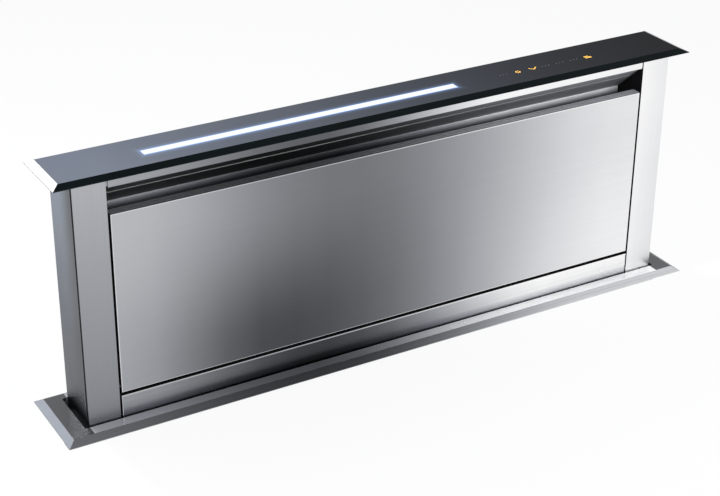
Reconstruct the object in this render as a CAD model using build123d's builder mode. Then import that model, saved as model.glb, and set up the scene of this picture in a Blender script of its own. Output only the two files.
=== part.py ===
"""Rising downdraft vent: a column that lifts out of the worktop behind a hob.

X runs along the vent, +Y to the back, +Z up. The origin is on the worktop, in the
middle of the column. The column is drawn raised. All sizes are in millimetres.
"""

from build123d import *
import math
import os

os.makedirs("parts", exist_ok=True)

# ---------------------------------------------------------------- driving sizes
# clearances
run_gap = 0.3  # between pieces that slide past each other
seat_gap = 0.2  # round a piece that drops into a pocket
shaft_gap = 0.05  # radial, round every shaft and pin

# glass top
glass_end_lap = 25.0  # glass past the column at each end
glass_side_lap = 11.35  # glass past the column, front and back
glass_thickness = 4.9
glass_bevel = 9.7
glass_land = 0.6  # upright edge left under the bevel

# light bar and touch keys in the glass
light_length = 419.0
light_width = 12.8
light_end_inset = 123.0  # from the left end of the glass
light_setback = -4.7  # centre line of the bar, from the middle of the column
light_board_thickness = 1.5
touch_length = 215.0
touch_width = 26.0
touch_end_inset = 65.0  # from the right end of the glass
touch_board_thickness = 1.6

# rising column
column_depth = 70.0
rise = 319.7  # underside of the glass above the worktop, column up
park_gap = 1.0  # glass above the flange, column down
column_tail = 90.0  # length of column that stays below the worktop
pillar_width = 40.6
skin = 1.0  # stainless sheet that shows
profile = 1.5  # steel sheet of the frame inside
edge_round = 0.7  # folded edges of the stainless sheet
tray_sheet = 2.0
tray_skirt = 10.0
header_height = 13.9
header_return = 5.0
cover_joint = 1.0  # dark joint between pillar and side cover
pillar_return = 2.5

# front panel
panel_low = 39.5
panel_high = 272.5
panel_gap = 1.8
panel_return = 15.0
panel_back_sheet = 0.8
pivot_setback = 8.0  # hinge line behind the front face
pivot_height = 45.0
pivot_radius = 2.5
pivot_head_radius = 4.0
pivot_head = 1.0
pivot_reach = 2.0  # pin end past the frame
magnet_size = 12.0
magnet_depth = 6.5
magnet_drop = 8.0  # top of the magnet below the top of the panel

# bottom rail
rail_top = 34.0
rail_return = 26.0
sill_height = 4.0
sill_setback = 16.5

# intake throat behind the header
throat_drop = 44.0  # fall of the sloped ceiling
throat_depth = 54.0
lip_radius = 6.0
lip_drop = 13.0
lip_tail = 12.0
baffle_sheet = 1.0

# grease filters
filter_count = 2
filter_head_gap = 0.6  # upper edge below the end of the baffle
filter_thickness = 9.0
filter_frame = 12.0
filter_core = 5.0
filter_tilt = 10.5  # degrees from upright
filter_foot_setback = 23.0  # middle of the lower edge behind the front face
handle_width = 70.0
handle_bar = 4.0
handle_reach = 12.0

# worktop flange
flange_width = 900.0
flange_end_lap = 29.0  # flange past the slot at each end
flange_front_lap = 26.0
flange_back_lap = 22.3
flange_thickness = 6.2
flange_bevel = 9.0
flange_land = 0.5
slot_end_gap = 6.0
slot_front_gap = 2.1
slot_back_gap = 3.0
slot_corner = 3.0
frame_sheet = 1.5
frame_inset = 9.5  # mounting frame inside the flange outline
gasket_inset = 3.0
gasket_thickness = 1.0
gasket_clear = 0.5
fixing_end_inset = 19.0  # screw holes from each end of the flange
fixing_spacing_y = 60.0
fixing_hole_radius = 2.25

# casing under the worktop
casing_height = 700.0
casing_sheet = 1.2
seal_top = -4.0
seal_height = 10.0
guide_top = -18.0
guide_height = 28.0
guide_length = 30.0
guide_end_inset = 20.0  # outer guides from each end of the column
guide_offset = 200.0  # inner guides from the middle
end_guide_width = 30.0

# masts, shoes and belts of the lift
mast_margin = 2.0  # mast above the upper shoe, column up
mast_offset = 13.6  # from the pillar's inner face to the mast
mast_width = 18.0
mast_depth = 24.0
shoe_height = 30.0
shoe_depth = 22.0
shoe_tail_gap = 4.0  # lower shoe above the column's lower end
shoe_pitch = 34.0
pulley_radius = 6.5
pulley_width = 8.6
pulley_flange = 2.4
pulley_flange_sheet = 0.8
pulley_gap = 0.15  # between the toothed core and the belt
belt_thickness = 1.5
belt_width = 8.0
belt_offset = 22.5  # shaft behind the middle of the column
belt_inset = 15.6  # from the pillar's inner face to the belt
idler_drop = 20.0  # idler axis below the top of the mast
idler_pin_radius = 2.5
idler_pin_reach = 0.7  # pin past the idler
bracket_sheet = 1.5
bracket_height = 26.0
shaft_radius = 4.0
shaft_height = 50.0  # shaft axis above the foot of the casing
shaft_end = 1.5  # shaft past its pulleys
clamp_height = 26.0
clamp_tail_gap = 2.0  # clamp above the column's lower end
clamp_depth = 6.0
clamp_cheek = 1.5  # clamp in front of the belt
bearing_width = 8.0
bearing_height = 24.0
bearing_inset = 9.0  # from the pillar's inner face towards the middle
gearbox_width = 60.0
gearbox_height = 44.0
gearbox_depth = 38.0
lift_motor_radius = 16.0
lift_motor_length = 88.0
lift_motor_round = 2.4
switch_width = 12.0
switch_depth = 6.0
switch_height = 20.0
switch_lever = 2.4
switch_drop = 40.0  # upper switch below the top of the mast

# blower box and blower
box_width = 410.0
box_gap = 20.0  # between the blower box and the control box
box_depth = 210.0
box_height = 260.0
box_sheet = 1.2
box_flange = 12.0
cover_screw_inset = 24.0
fan_end_inset = 120.0  # fan axis from the right end of the box
fan_height = 100.0  # fan axis above the foot of the box
fan_radius = 80.0
fan_width = 92.0
fan_blades = 30
blade_thickness = 1.2
blade_depth = 16.0
blade_lean = 30.0
fan_disc = 2.0
fan_ring = 3.0
fan_hub_radius = 14.0
fan_hub_length = 26.0
fan_shaft_radius = 4.0
fan_clear = 4.0  # wheel to scroll side
scroll_width = 110.0
scroll_start = 92.0
scroll_step = 11.0
scroll_sheet = 1.2
scroll_setback = 24.0  # from the box wall to the scroll
scroll_mouth = 120.0
mouth_cut = 5.0  # reach of the cut that opens the mouth
inlet_radius = 72.0
inlet_collar = 1.5
fan_motor_radius = 45.0
fan_motor_length = 50.0
fan_motor_round = 5.0
motor_foot = 6.0
motor_foot_radius = 6.0
motor_foot_inset = 12.0
motor_feet = 3

# outlet spigot with its damper
spigot_radius = 75.0
spigot_length = 80.0
spigot_sheet = 1.2
spigot_plate = 156.0
damper_inset = 30.0
flap_sheet = 1.0
flap_barrel = 4.0
flap_edge_gap = 1.0
flap_pin_radius = 2.0
flap_knuckle = 20.0
flap_knuckle_offset = 40.0  # pairs of knuckles above and below the middle
flap_root = 8.0  # leaf beside the pin

# control box
control_end_inset = 22.2  # from the right end of the casing
control_width = 230.0
control_height = 130.0
control_depth = 60.0
control_lift = 10.0  # above the foot of the casing
control_sheet = 1.5
board_margin = 12.0
board_thickness = 1.6
board_spacer = 6.0
gland_radius = 9.0
gland_bore = 4.5
gland_length = 18.0
gland_nut = 9.0
gland_thread_radius = 7.0
gland_tail = 6.0  # thread inside the box

# screws and feet
screw_radius = 2.0
screw_head_radius = 3.8
screw_head = 1.6
screw_length = 8.0
foot_radius = 15.0
foot_end_inset = 71.0  # casing feet from each end of the slot
foot_box_inset = 30.0  # box feet from the corners of the box
foot_pad = 5.0
foot_height = 15.0
foot_stud_radius = 4.0
foot_nut_radius = 8.0
foot_nut = 5.0

# ------------------------------------------------------------- places worked out
slot_x = flange_width / 2 - flange_end_lap
col_x = slot_x - slot_end_gap
col_y = column_depth / 2
front = -col_y
glass_x = col_x + glass_end_lap
glass_y = col_y + glass_side_lap
bay_x = col_x - pillar_width  # inner face of the pillars
tail_z = -column_tail
glass_top_z = rise + glass_thickness
tray_z = rise - tray_sheet
header_z = rise - header_height
travel = rise - flange_thickness - park_gap

slot_front = front - slot_front_gap
slot_back = col_y + slot_back_gap
slot_mid = (slot_front + slot_back) / 2
slot_depth = slot_back - slot_front
flange_front = front - flange_front_lap
flange_back = col_y + flange_back_lap
flange_mid = (flange_front + flange_back) / 2
flange_depth = flange_back - flange_front

case_front = slot_front - casing_sheet
case_back = slot_back + casing_sheet
case_x = slot_x + casing_sheet
base_z = -casing_height
floor_z = base_z + casing_sheet

pivot_y = front + pivot_setback
panel_x = bay_x - panel_gap
panel_back_y = front + panel_return

shoe_low = tail_z + shoe_tail_gap
shoe_levels = (shoe_low, shoe_low + shoe_pitch)
mast_x = bay_x + mast_offset
mast_outer = mast_x + mast_width
mast_top = shoe_levels[1] + shoe_height + mast_margin
idler_level = mast_top - idler_drop
shaft_level = base_z + shaft_height
belt_x = bay_x + belt_inset
belt_mid_x = belt_x + belt_width / 2
bracket_x = belt_mid_x + pulley_width / 2 + pulley_flange_sheet + run_gap
bearing_x = bay_x - bearing_inset

control_right = case_x - control_end_inset
control_x = (control_right - control_width, control_right)
box_right = control_x[0] - box_gap
box_left = box_right - box_width
fan_x = box_right - fan_end_inset
fan_z = base_z + fan_height
box_front = case_front - box_depth
box_top = base_z + box_height
scroll_back = case_front - box_sheet - scroll_setback
scroll_front = scroll_back - scroll_width
scroll_mid = (scroll_back + scroll_front) / 2
mouth_top = fan_z + scroll_start + 3 * scroll_step
mouth_bottom = mouth_top - scroll_mouth
spigot_z = (mouth_top + mouth_bottom) / 2
spigot_end = box_left - spigot_length
damper_x = box_left - damper_inset
wheel_back = scroll_back - fan_clear
wheel_front = wheel_back - fan_width

sides = (("left", -1), ("right", 1))


# ------------------------------------------------------------------ small shapes
def block(x, y, z, mode=Mode.ADD):
    """A plate or bar between two opposite corners, given as pairs along each axis."""
    with Locations([(sum(x) / 2, sum(y) / 2, sum(z) / 2)]):
        Box(abs(x[1] - x[0]), abs(y[1] - y[0]), abs(z[1] - z[0]), mode=mode)


def rod(start, direction, radius, length, mode=Mode.ADD):
    """A round bar from a start point along a direction."""
    with BuildSketch(Plane(origin=start, z_dir=direction)) as section:
        Circle(radius)
    extrude(section.sketch, amount=length, mode=mode)


def ring_plate(outer, inner, z, corner):
    """A flat rectangular ring: outer and inner are (half width, front y, back y)."""
    with BuildSketch(Plane.XY.offset(z[0])) as ring:
        for (half, low, high), mode in ((outer, Mode.ADD), (inner, Mode.SUBTRACT)):
            with Locations([(0, (low + high) / 2)]):
                RectangleRounded(2 * half, high - low, corner, mode=mode)
    extrude(ring.sketch, amount=z[1] - z[0])


def bevelled_plate(width, depth, mid_y, z, land, thickness, bevel):
    """A plate with an upright land and a wide bevel up to a smaller top face."""
    with BuildSketch(Plane.XY.offset(z)) as base:
        with Locations([(0, mid_y)]):
            Rectangle(width, depth)
    extrude(base.sketch, amount=land)
    with BuildSketch(Plane.XY.offset(z + land)) as bevel_foot:
        with Locations([(0, mid_y)]):
            Rectangle(width, depth)
    with BuildSketch(Plane.XY.offset(z + thickness)) as top:
        with Locations([(0, mid_y)]):
            Rectangle(width - 2 * bevel, depth - 2 * bevel)
    loft([bevel_foot.sketch, top.sketch])


def screw(seat, direction):
    """A pan head screw: seat is the middle of the face under the head."""
    rod(seat, direction, screw_head_radius, screw_head)
    back = tuple(-d for d in direction)
    rod(seat, back, screw_radius, screw_length)


def save(builder, name):
    """Label a finished piece and write its file."""
    builder.part.label = name
    export_step(builder.part, f"parts/{name}.step")


# --------------------------------------------------------------- glass and light
light_x = (light_end_inset - glass_x, light_end_inset - glass_x + light_length)
light_y = (light_setback - light_width / 2, light_setback + light_width / 2)
with BuildPart() as glass_top:
    bevelled_plate(
        2 * glass_x, 2 * glass_y, 0, rise, glass_land, glass_thickness, glass_bevel
    )
    block(light_x, light_y, (rise, glass_top_z), Mode.SUBTRACT)
save(glass_top, "glass_top")

light_board_z = rise + light_board_thickness
board_x = (light_x[0] + seat_gap, light_x[1] - seat_gap)
board_y = (light_y[0] + seat_gap, light_y[1] - seat_gap)
with BuildPart() as light_board:
    block(board_x, board_y, (rise, light_board_z))
save(light_board, "light_board")

with BuildPart() as light_diffuser:
    block(board_x, board_y, (light_board_z, glass_top_z))
save(light_diffuser, "light_diffuser")

# ---------------------------------------------------------- tray under the glass
touch_x = (glass_x - touch_end_inset - touch_length, glass_x - touch_end_inset)
touch_y = (light_setback - touch_width / 2, light_setback + touch_width / 2)
tray_x = col_x - skin
with BuildPart() as top_tray:
    block((-tray_x, tray_x), (front + skin, col_y - skin), (tray_z, rise))
    block(touch_x, touch_y, (tray_z, rise), Mode.SUBTRACT)
    skirt_z = (tray_z - tray_skirt, tray_z)
    block((-bay_x, bay_x), (front + skin, front + 2 * skin), skirt_z)
    block((-bay_x, bay_x), (col_y - 2 * skin, col_y - skin), skirt_z)
save(top_tray, "top_tray")

with BuildPart() as touch_board:
    inner_x = (touch_x[0] + seat_gap, touch_x[1] - seat_gap)
    inner_y = (touch_y[0] + seat_gap, touch_y[1] - seat_gap)
    block(inner_x, inner_y, (rise - touch_board_thickness, rise))
save(touch_board, "touch_board")

with BuildPart() as header_rail:
    block((-bay_x, bay_x), (front, front + skin), (header_z, rise))
    lip_y = (front + skin, front + skin + header_return)
    block((-bay_x, bay_x), lip_y, (header_z, header_z + skin))
    low_edges = header_rail.edges().filter_by(Axis.X).group_by(Axis.Z)[0]
    fillet(low_edges.sort_by(Axis.Y)[0], edge_round)
save(header_rail, "header_rail")

# -------------------------------------------------------------- pillars and sides
for side, sign in sides:
    with BuildPart() as pillar:
        block((sign * bay_x, sign * col_x), (front, front + skin), (tail_z, rise))
        return_y = (front + skin, front + skin + pillar_return)
        block((sign * (col_x - skin), sign * col_x), return_y, (tail_z, rise))
        upright_edges = pillar.edges().filter_by(Axis.Z).group_by(Axis.Y)[0]
        fillet(upright_edges, edge_round)
    save(pillar, f"pillar_{side}")

    cover_front = front + skin + pillar_return + cover_joint
    with BuildPart() as side_cover:
        block((sign * (col_x - skin), sign * col_x), (cover_front, col_y), (tail_z, rise))
    save(side_cover, f"side_cover_{side}")

with BuildPart() as uprights:
    pin_hole = pivot_radius + shaft_gap
    level = (tail_z, tray_z)
    for side, sign in sides:
        flange_x = (sign * (bay_x + profile), sign * (col_x - skin))
        block((sign * bay_x, sign * (bay_x + profile)), (front + skin, col_y - skin), level)
        block(flange_x, (front + skin, front + skin + profile), level)
        block(flange_x, (col_y - skin - profile, col_y - skin), level)
        rod((sign * bay_x, pivot_y, pivot_height), (sign, 0, 0), pin_hole, profile, Mode.SUBTRACT)
save(uprights, "uprights")

with BuildPart() as rear_panel:
    block((-tray_x, tray_x), (col_y - skin, col_y), (tail_z, rise))
save(rear_panel, "rear_panel")

# --------------------------------------------------------------------- front rail
with BuildPart() as bottom_rail:
    block((-bay_x, bay_x), (front, front + skin), (tail_z, rail_top))
    block((-bay_x, bay_x), (front + skin, front + skin + rail_return), (rail_top - skin, rail_top))
    sill_y = front + sill_setback
    block((-bay_x, bay_x), (sill_y, sill_y + skin), (rail_top, rail_top + sill_height))
    top_edge = bottom_rail.edges().filter_by(Axis.X).group_by(Axis.Y)[0].sort_by(Axis.Z)[-1]
    fillet(top_edge, edge_round)
save(bottom_rail, "bottom_rail")

tie_y = (col_y - skin - rail_return, col_y - skin)
with BuildPart() as lower_tie:
    block((-bay_x, bay_x), tie_y, (tail_z, tail_z + profile))
    block((-bay_x, bay_x), (tie_y[0], tie_y[0] + profile), (tail_z + profile, tail_z + tray_skirt))
save(lower_tie, "lower_tie")

# ------------------------------------------------------------------ intake throat
throat_start = (front + skin + header_return, header_z - baffle_sheet / 2)
throat_end = (front + throat_depth, throat_start[1] - throat_drop)
lip_end_z = throat_end[1] - lip_drop - lip_tail
duct_y = col_y - skin - baffle_sheet / 2
with BuildPart() as intake_baffle:
    with BuildSketch(Plane.YZ.offset(-bay_x)):
        with BuildLine():
            FilletPolyline(
                throat_start,
                throat_end,
                (duct_y, throat_end[1] - lip_drop),
                (duct_y, lip_end_z),
                radius=lip_radius,
            )
        trace(line_width=baffle_sheet)
    extrude(amount=2 * bay_x)
save(intake_baffle, "intake_baffle")

# ------------------------------------------------------------------ grease filters
tilt = math.radians(filter_tilt)
up_slope = (0, math.sin(tilt), math.cos(tilt))
foot_drop = filter_thickness / 2 * math.sin(tilt)
filter_foot = (front + filter_foot_setback, rail_top + run_gap + foot_drop)
filter_length = (lip_end_z - filter_head_gap - filter_foot[1]) / math.cos(tilt)
filter_width = (2 * bay_x - (filter_count + 1) * run_gap) / filter_count
filter_pitch = filter_width + run_gap
filter_xs = [(i - (filter_count - 1) / 2) * filter_pitch for i in range(filter_count)]


def filter_plane(x):
    """The middle plane of one filter, its normal towards the hob."""
    half = filter_length / 2
    middle = (x, filter_foot[0] + half * up_slope[1], filter_foot[1] + half * up_slope[2])
    return Plane(origin=middle, x_dir=(1, 0, 0), z_dir=(0, -math.cos(tilt), math.sin(tilt)))


core_size = (filter_width - 2 * filter_frame, filter_length - 2 * filter_frame)
with BuildPart() as filter_frames:
    for x in filter_xs:
        with BuildSketch(filter_plane(x)):
            Rectangle(filter_width, filter_length)
            Rectangle(*core_size, mode=Mode.SUBTRACT)
        extrude(amount=filter_thickness / 2, both=True)
save(filter_frames, "filter_frames")

with BuildPart() as filter_meshes:
    for x in filter_xs:
        with BuildSketch(filter_plane(x)):
            Rectangle(*core_size)
        extrude(amount=filter_core / 2, both=True)
save(filter_meshes, "filter_meshes")

with BuildPart() as filter_handles:
    for x in filter_xs:
        face = filter_plane(x).offset(filter_thickness / 2)
        high = filter_length / 2 - filter_frame / 2
        with BuildSketch(face):
            with Locations([(-handle_width / 2, high), (handle_width / 2, high)]):
                Rectangle(handle_bar, handle_bar)
        extrude(amount=handle_reach / 2)
        with BuildSketch(face.offset(handle_reach / 2)):
            with Locations([(0, high)]):
                Rectangle(handle_width + handle_bar, handle_bar)
        extrude(amount=handle_bar / 2)
save(filter_handles, "filter_handles")

# -------------------------------------------------------------------- front panel
with BuildPart() as front_panel:
    block((-panel_x, panel_x), (front, panel_back_y), (panel_low, panel_high))
    inner_panel_x = panel_x - skin
    hollow_z = (panel_low + skin, panel_high - skin)
    block((-inner_panel_x, inner_panel_x), (front + skin, panel_back_y), hollow_z, Mode.SUBTRACT)
    for side, sign in sides:
        start = (sign * inner_panel_x, pivot_y, pivot_height)
        rod(start, (sign, 0, 0), pivot_radius, skin, Mode.SUBTRACT)
    fillet(front_panel.faces().sort_by(Axis.Y)[0].outer_wire().edges(), edge_round)
save(front_panel, "front_panel")

with BuildPart() as panel_back:
    back_y = (panel_back_y - panel_back_sheet, panel_back_y)
    block((-inner_panel_x, inner_panel_x), back_y, hollow_z)
save(panel_back, "panel_back")

with BuildPart() as panel_pins:
    for side, sign in sides:
        start = (sign * (inner_panel_x - pivot_head), pivot_y, pivot_height)
        rod(start, (sign, 0, 0), pivot_head_radius, pivot_head)
        start = (sign * inner_panel_x, pivot_y, pivot_height)
        rod(start, (sign, 0, 0), pivot_radius, skin + panel_gap + profile + pivot_reach)
save(panel_pins, "panel_pins")

with BuildPart() as panel_magnets:
    for side, sign in sides:
        reach = (sign * (bay_x - magnet_size), sign * bay_x)
        behind = panel_back_y + run_gap
        top = panel_high - magnet_drop
        block(reach, (behind, behind + magnet_depth), (top - magnet_size, top))
save(panel_magnets, "panel_magnets")

# --------------------------------------------------- flange on the worktop
frame_outline = (
    flange_width / 2 - frame_inset,
    flange_front + frame_inset,
    flange_back - frame_inset,
)
fixing_spacing_x = flange_width - 2 * fixing_end_inset
slot_outline = (slot_x, slot_front, slot_back)
with BuildPart() as flange:
    bevelled_plate(
        flange_width, flange_depth, flange_mid, 0, flange_land, flange_thickness, flange_bevel
    )
    with BuildSketch(Plane.XY):
        with Locations([(0, slot_mid)]):
            RectangleRounded(2 * slot_x, slot_depth, slot_corner)
    extrude(amount=flange_thickness, mode=Mode.SUBTRACT)
    half, low, high = frame_outline
    block((-half, half), (low, high), (0, frame_sheet), Mode.SUBTRACT)
    half = flange_width / 2 - gasket_inset
    gasket_y = (flange_front + gasket_inset, flange_back - gasket_inset)
    block((-half, half), gasket_y, (0, gasket_thickness), Mode.SUBTRACT)
save(flange, "flange")

gasket_outline = (flange_width / 2 - gasket_inset, *gasket_y)
gasket_hole = (
    frame_outline[0] + gasket_clear,
    frame_outline[1] - gasket_clear,
    frame_outline[2] + gasket_clear,
)
with BuildPart() as flange_gasket:
    ring_plate(gasket_outline, gasket_hole, (0, gasket_thickness), gasket_clear)
save(flange_gasket, "flange_gasket")

with BuildPart() as mounting_frame:
    ring_plate(frame_outline, slot_outline, (0, frame_sheet), slot_corner)
    with BuildSketch(Plane.XY):
        with GridLocations(fixing_spacing_x, fixing_spacing_y, 2, 2):
            Circle(fixing_hole_radius)
    extrude(amount=frame_sheet, mode=Mode.SUBTRACT)
save(mounting_frame, "mounting_frame")

# --------------------------------------------------------- seal and neck guides
column_outline = (col_x + run_gap, front - run_gap, col_y + run_gap)
with BuildPart() as wiper_seal:
    ring_plate(slot_outline, column_outline, (seal_top - seal_height, seal_top), edge_round)
save(wiper_seal, "wiper_seal")

guide_z = (guide_top - guide_height, guide_top)
guide_outer = col_x - guide_end_inset
guide_positions = (-guide_outer, -guide_offset, guide_offset, guide_outer)
with BuildPart() as neck_guides:
    for x in guide_positions:
        pad = (x - guide_length / 2, x + guide_length / 2)
        block(pad, (slot_front, front - run_gap), guide_z)
        block(pad, (col_y + run_gap, slot_back), guide_z)
    for side, sign in sides:
        end = (sign * (col_x + run_gap), sign * slot_x)
        block(end, (-end_guide_width / 2, end_guide_width / 2), guide_z)
save(neck_guides, "neck_guides")

# ------------------------------------------------------------------------- casing
with BuildPart() as casing_front:
    block((-case_x, case_x), (case_front, slot_front), (base_z, 0))
    start = (fan_x, slot_front, fan_z)
    rod(start, (0, -1, 0), inlet_radius, casing_sheet, Mode.SUBTRACT)
save(casing_front, "casing_front")

with BuildPart() as casing_back:
    block((-case_x, case_x), (slot_back, case_back), (base_z, 0))
save(casing_back, "casing_back")

with BuildPart() as casing_sides:
    for side, sign in sides:
        block((sign * slot_x, sign * case_x), (slot_front, slot_back), (base_z, 0))
save(casing_sides, "casing_sides")

foot_xs = (foot_end_inset - slot_x, slot_x - foot_end_inset)
box_foot_xs = (box_left + foot_box_inset, box_right - foot_box_inset)
box_foot_y = box_front + foot_box_inset
foot_spots = [(x, slot_mid) for x in foot_xs] + [(x, box_foot_y) for x in box_foot_xs]
with BuildPart() as casing_base:
    block((-slot_x, slot_x), (slot_front, slot_back), (base_z, floor_z))
    with BuildSketch(Plane.XY.offset(base_z)):
        with Locations(foot_spots[:2]):
            Circle(foot_stud_radius)
    extrude(amount=casing_sheet, mode=Mode.SUBTRACT)
save(casing_base, "casing_base")

# ------------------------------------------------------------------ lift mechanism
with BuildPart() as guide_masts:
    span = (floor_z, mast_top)
    half = mast_depth / 2
    for side, sign in sides:
        block((sign * mast_x, sign * mast_outer), (-half, half), span)
        hollow = (sign * mast_x, sign * (mast_outer - profile))
        block(hollow, (profile - half, half - profile), span, Mode.SUBTRACT)
save(guide_masts, "guide_masts")

tongue_half = mast_depth / 2 - profile - run_gap
with BuildPart() as guide_shoes:
    for side, sign in sides:
        for level in shoe_levels:
            height = (level, level + shoe_height)
            face_x = bay_x + profile
            base_x = (sign * face_x, sign * (mast_x - run_gap))
            block(base_x, (-shoe_depth / 2, shoe_depth / 2), height)
            tongue = (sign * (mast_x - run_gap), sign * (mast_outer - profile - run_gap))
            block(tongue, (-tongue_half, tongue_half), height)
save(guide_shoes, "guide_shoes")

belt_low = belt_offset - pulley_radius - belt_thickness
with BuildPart() as belt_clamps:
    for side, sign in sides:
        clamp_level = tail_z + clamp_tail_gap
        span = (clamp_level, clamp_level + clamp_height)
        grip = (belt_low - clamp_cheek, belt_low - clamp_cheek + clamp_depth)
        block((sign * (bay_x + profile), sign * (belt_x + belt_width + run_gap)), grip, span)
        slit = (belt_low - run_gap, belt_low + belt_thickness + run_gap)
        channel = (sign * (belt_x - run_gap), sign * (belt_x + belt_width + run_gap))
        block(channel, slit, span, Mode.SUBTRACT)
save(belt_clamps, "belt_clamps")

belt_span = idler_level - shaft_level
belt_middle = Location((belt_offset, (idler_level + shaft_level) / 2), 90)
with BuildPart() as lift_belts:
    for side, sign in sides:
        with BuildSketch(Plane.YZ.offset(sign * belt_mid_x)):
            with Locations([belt_middle]):
                SlotCenterToCenter(belt_span, 2 * (pulley_radius + belt_thickness))
                SlotCenterToCenter(belt_span, 2 * pulley_radius, mode=Mode.SUBTRACT)
        extrude(amount=belt_width / 2, both=True)
save(lift_belts, "lift_belts")


def pulley(sign, level, bore):
    """A flanged belt pulley about the belt's middle, bored for its shaft."""
    middle_x = sign * belt_mid_x
    half = pulley_width / 2
    core = (middle_x - half, belt_offset, level)
    rod(core, (1, 0, 0), pulley_radius - pulley_gap, pulley_width)
    for low_x in (middle_x - half - pulley_flange_sheet, middle_x + half):
        start = (low_x, belt_offset, level)
        rod(start, (1, 0, 0), pulley_radius + pulley_flange, pulley_flange_sheet)
    start = (middle_x - pulley_width, belt_offset, level)
    rod(start, (1, 0, 0), bore, 2 * pulley_width, Mode.SUBTRACT)


for side, sign in sides:
    with BuildPart() as idler:
        pulley(sign, idler_level, idler_pin_radius + shaft_gap)
    save(idler, f"idler_{side}")

with BuildPart() as idler_brackets:
    for side, sign in sides:
        plate_x = (sign * bracket_x, sign * (bracket_x + bracket_sheet))
        plate_y = (mast_depth / 2, belt_offset + pulley_radius)
        plate_z = (idler_level - bracket_height / 2, idler_level + bracket_height / 2)
        block(plate_x, plate_y, plate_z)
        start = (sign * bracket_x, belt_offset, idler_level)
        pin_end = belt_mid_x - pulley_width / 2 - pulley_flange_sheet - idler_pin_reach
        rod(start, (-sign, 0, 0), idler_pin_radius, bracket_x - pin_end)
save(idler_brackets, "idler_brackets")

with BuildPart() as drive_pulleys:
    for side, sign in sides:
        pulley(sign, shaft_level, shaft_radius)
save(drive_pulleys, "drive_pulleys")

shaft_half = belt_mid_x + pulley_width / 2 + pulley_flange_sheet + shaft_end
with BuildPart() as drive_shaft:
    rod((-shaft_half, belt_offset, shaft_level), (1, 0, 0), shaft_radius, 2 * shaft_half)
save(drive_shaft, "drive_shaft")

with BuildPart() as shaft_bearings:
    for side, sign in sides:
        low_x = sign * bearing_x
        high_x = sign * (bearing_x + bearing_width)
        span = (shaft_level - bearing_height / 2, shaft_level + bearing_height / 2)
        block((low_x, high_x), (belt_offset - bearing_height / 2, slot_back), span)
        start = (low_x, belt_offset, shaft_level)
        rod(start, (sign, 0, 0), shaft_radius + shaft_gap, bearing_width, Mode.SUBTRACT)
save(shaft_bearings, "shaft_bearings")

gearbox_front = slot_back - gearbox_depth
with BuildPart() as lift_motor:
    half = gearbox_width / 2
    span = (shaft_level - gearbox_height / 2, shaft_level + gearbox_height / 2)
    block((-half, half), (gearbox_front, slot_back), span)
    fillet(lift_motor.edges().filter_by(Axis.Y), lift_motor_round)
    motor_y = gearbox_front + lift_motor_radius
    rod((0, motor_y, span[1]), (0, 0, 1), lift_motor_radius, lift_motor_length)
    fillet(lift_motor.edges().group_by(Axis.Z)[-1], lift_motor_round)
    start = (-half, belt_offset, shaft_level)
    rod(start, (1, 0, 0), shaft_radius + shaft_gap, gearbox_width, Mode.SUBTRACT)
save(lift_motor, "lift_motor")

switch_high = mast_top - switch_drop
with BuildPart() as limit_switches:
    for level in (switch_high, switch_high - travel):
        half = mast_width / 2 - switch_width / 2
        body_x = (mast_x + half, mast_x + half + switch_width)
        body_y = (-mast_depth / 2 - switch_depth, -mast_depth / 2)
        block(body_x, body_y, (level, level + switch_height))
        block((body_x[0] - switch_lever, body_x[0]), body_y, (level, level + switch_depth))
save(limit_switches, "limit_switches")

# --------------------------------------------------------------------- blower box
box_x = (box_left, box_right)
inner_x = (box_left + box_sheet, box_right - box_sheet)
box_z = (base_z, box_top)
inner_z = (base_z + box_sheet, box_top - box_sheet)
cover_back = box_front + box_sheet
with BuildPart() as blower_box:
    block(box_x, (cover_back, case_front), box_z)
    block(inner_x, (cover_back, case_front - box_sheet), inner_z, Mode.SUBTRACT)
    start = (fan_x, case_front, fan_z)
    rod(start, (0, -1, 0), inlet_radius, box_sheet, Mode.SUBTRACT)
    mouth_y = (scroll_front + scroll_sheet, scroll_back - scroll_sheet)
    mouth_z = (mouth_bottom + scroll_sheet, mouth_top - scroll_sheet)
    block((box_left, inner_x[0]), mouth_y, mouth_z, Mode.SUBTRACT)
    with BuildSketch(Plane.XY.offset(base_z)):
        with Locations(foot_spots[2:]):
            Circle(foot_stud_radius)
    extrude(amount=box_sheet, mode=Mode.SUBTRACT)
    lip_x = (inner_x[0], inner_x[0] + box_flange)
    far_lip_x = (inner_x[1] - box_flange, inner_x[1])
    for lip in (lip_x, far_lip_x):
        block(lip, (cover_back, cover_back + box_sheet), inner_z)
    screw_xs = (lip_x[0] + box_flange / 2, far_lip_x[1] - box_flange / 2)
    screw_zs = (base_z + cover_screw_inset, (base_z + box_top) / 2, box_top - cover_screw_inset)
    cover_screws = [(x, z) for x in screw_xs for z in screw_zs]
    for x, z in cover_screws:
        rod((x, cover_back, z), (0, 1, 0), screw_radius, box_sheet, Mode.SUBTRACT)
save(blower_box, "blower_box")

with BuildPart() as blower_cover:
    block(box_x, (box_front, cover_back), box_z)
    for x, z in cover_screws:
        rod((x, box_front, z), (0, 1, 0), screw_radius, box_sheet, Mode.SUBTRACT)
save(blower_cover, "blower_cover")

with BuildPart() as blower_screws:
    for x, z in cover_screws:
        screw((x, box_front, z), (0, -1, 0))
save(blower_screws, "blower_screws")


# ----------------------------------------------------------------- blower scroll
mouth_x = box_left + box_sheet


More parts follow.
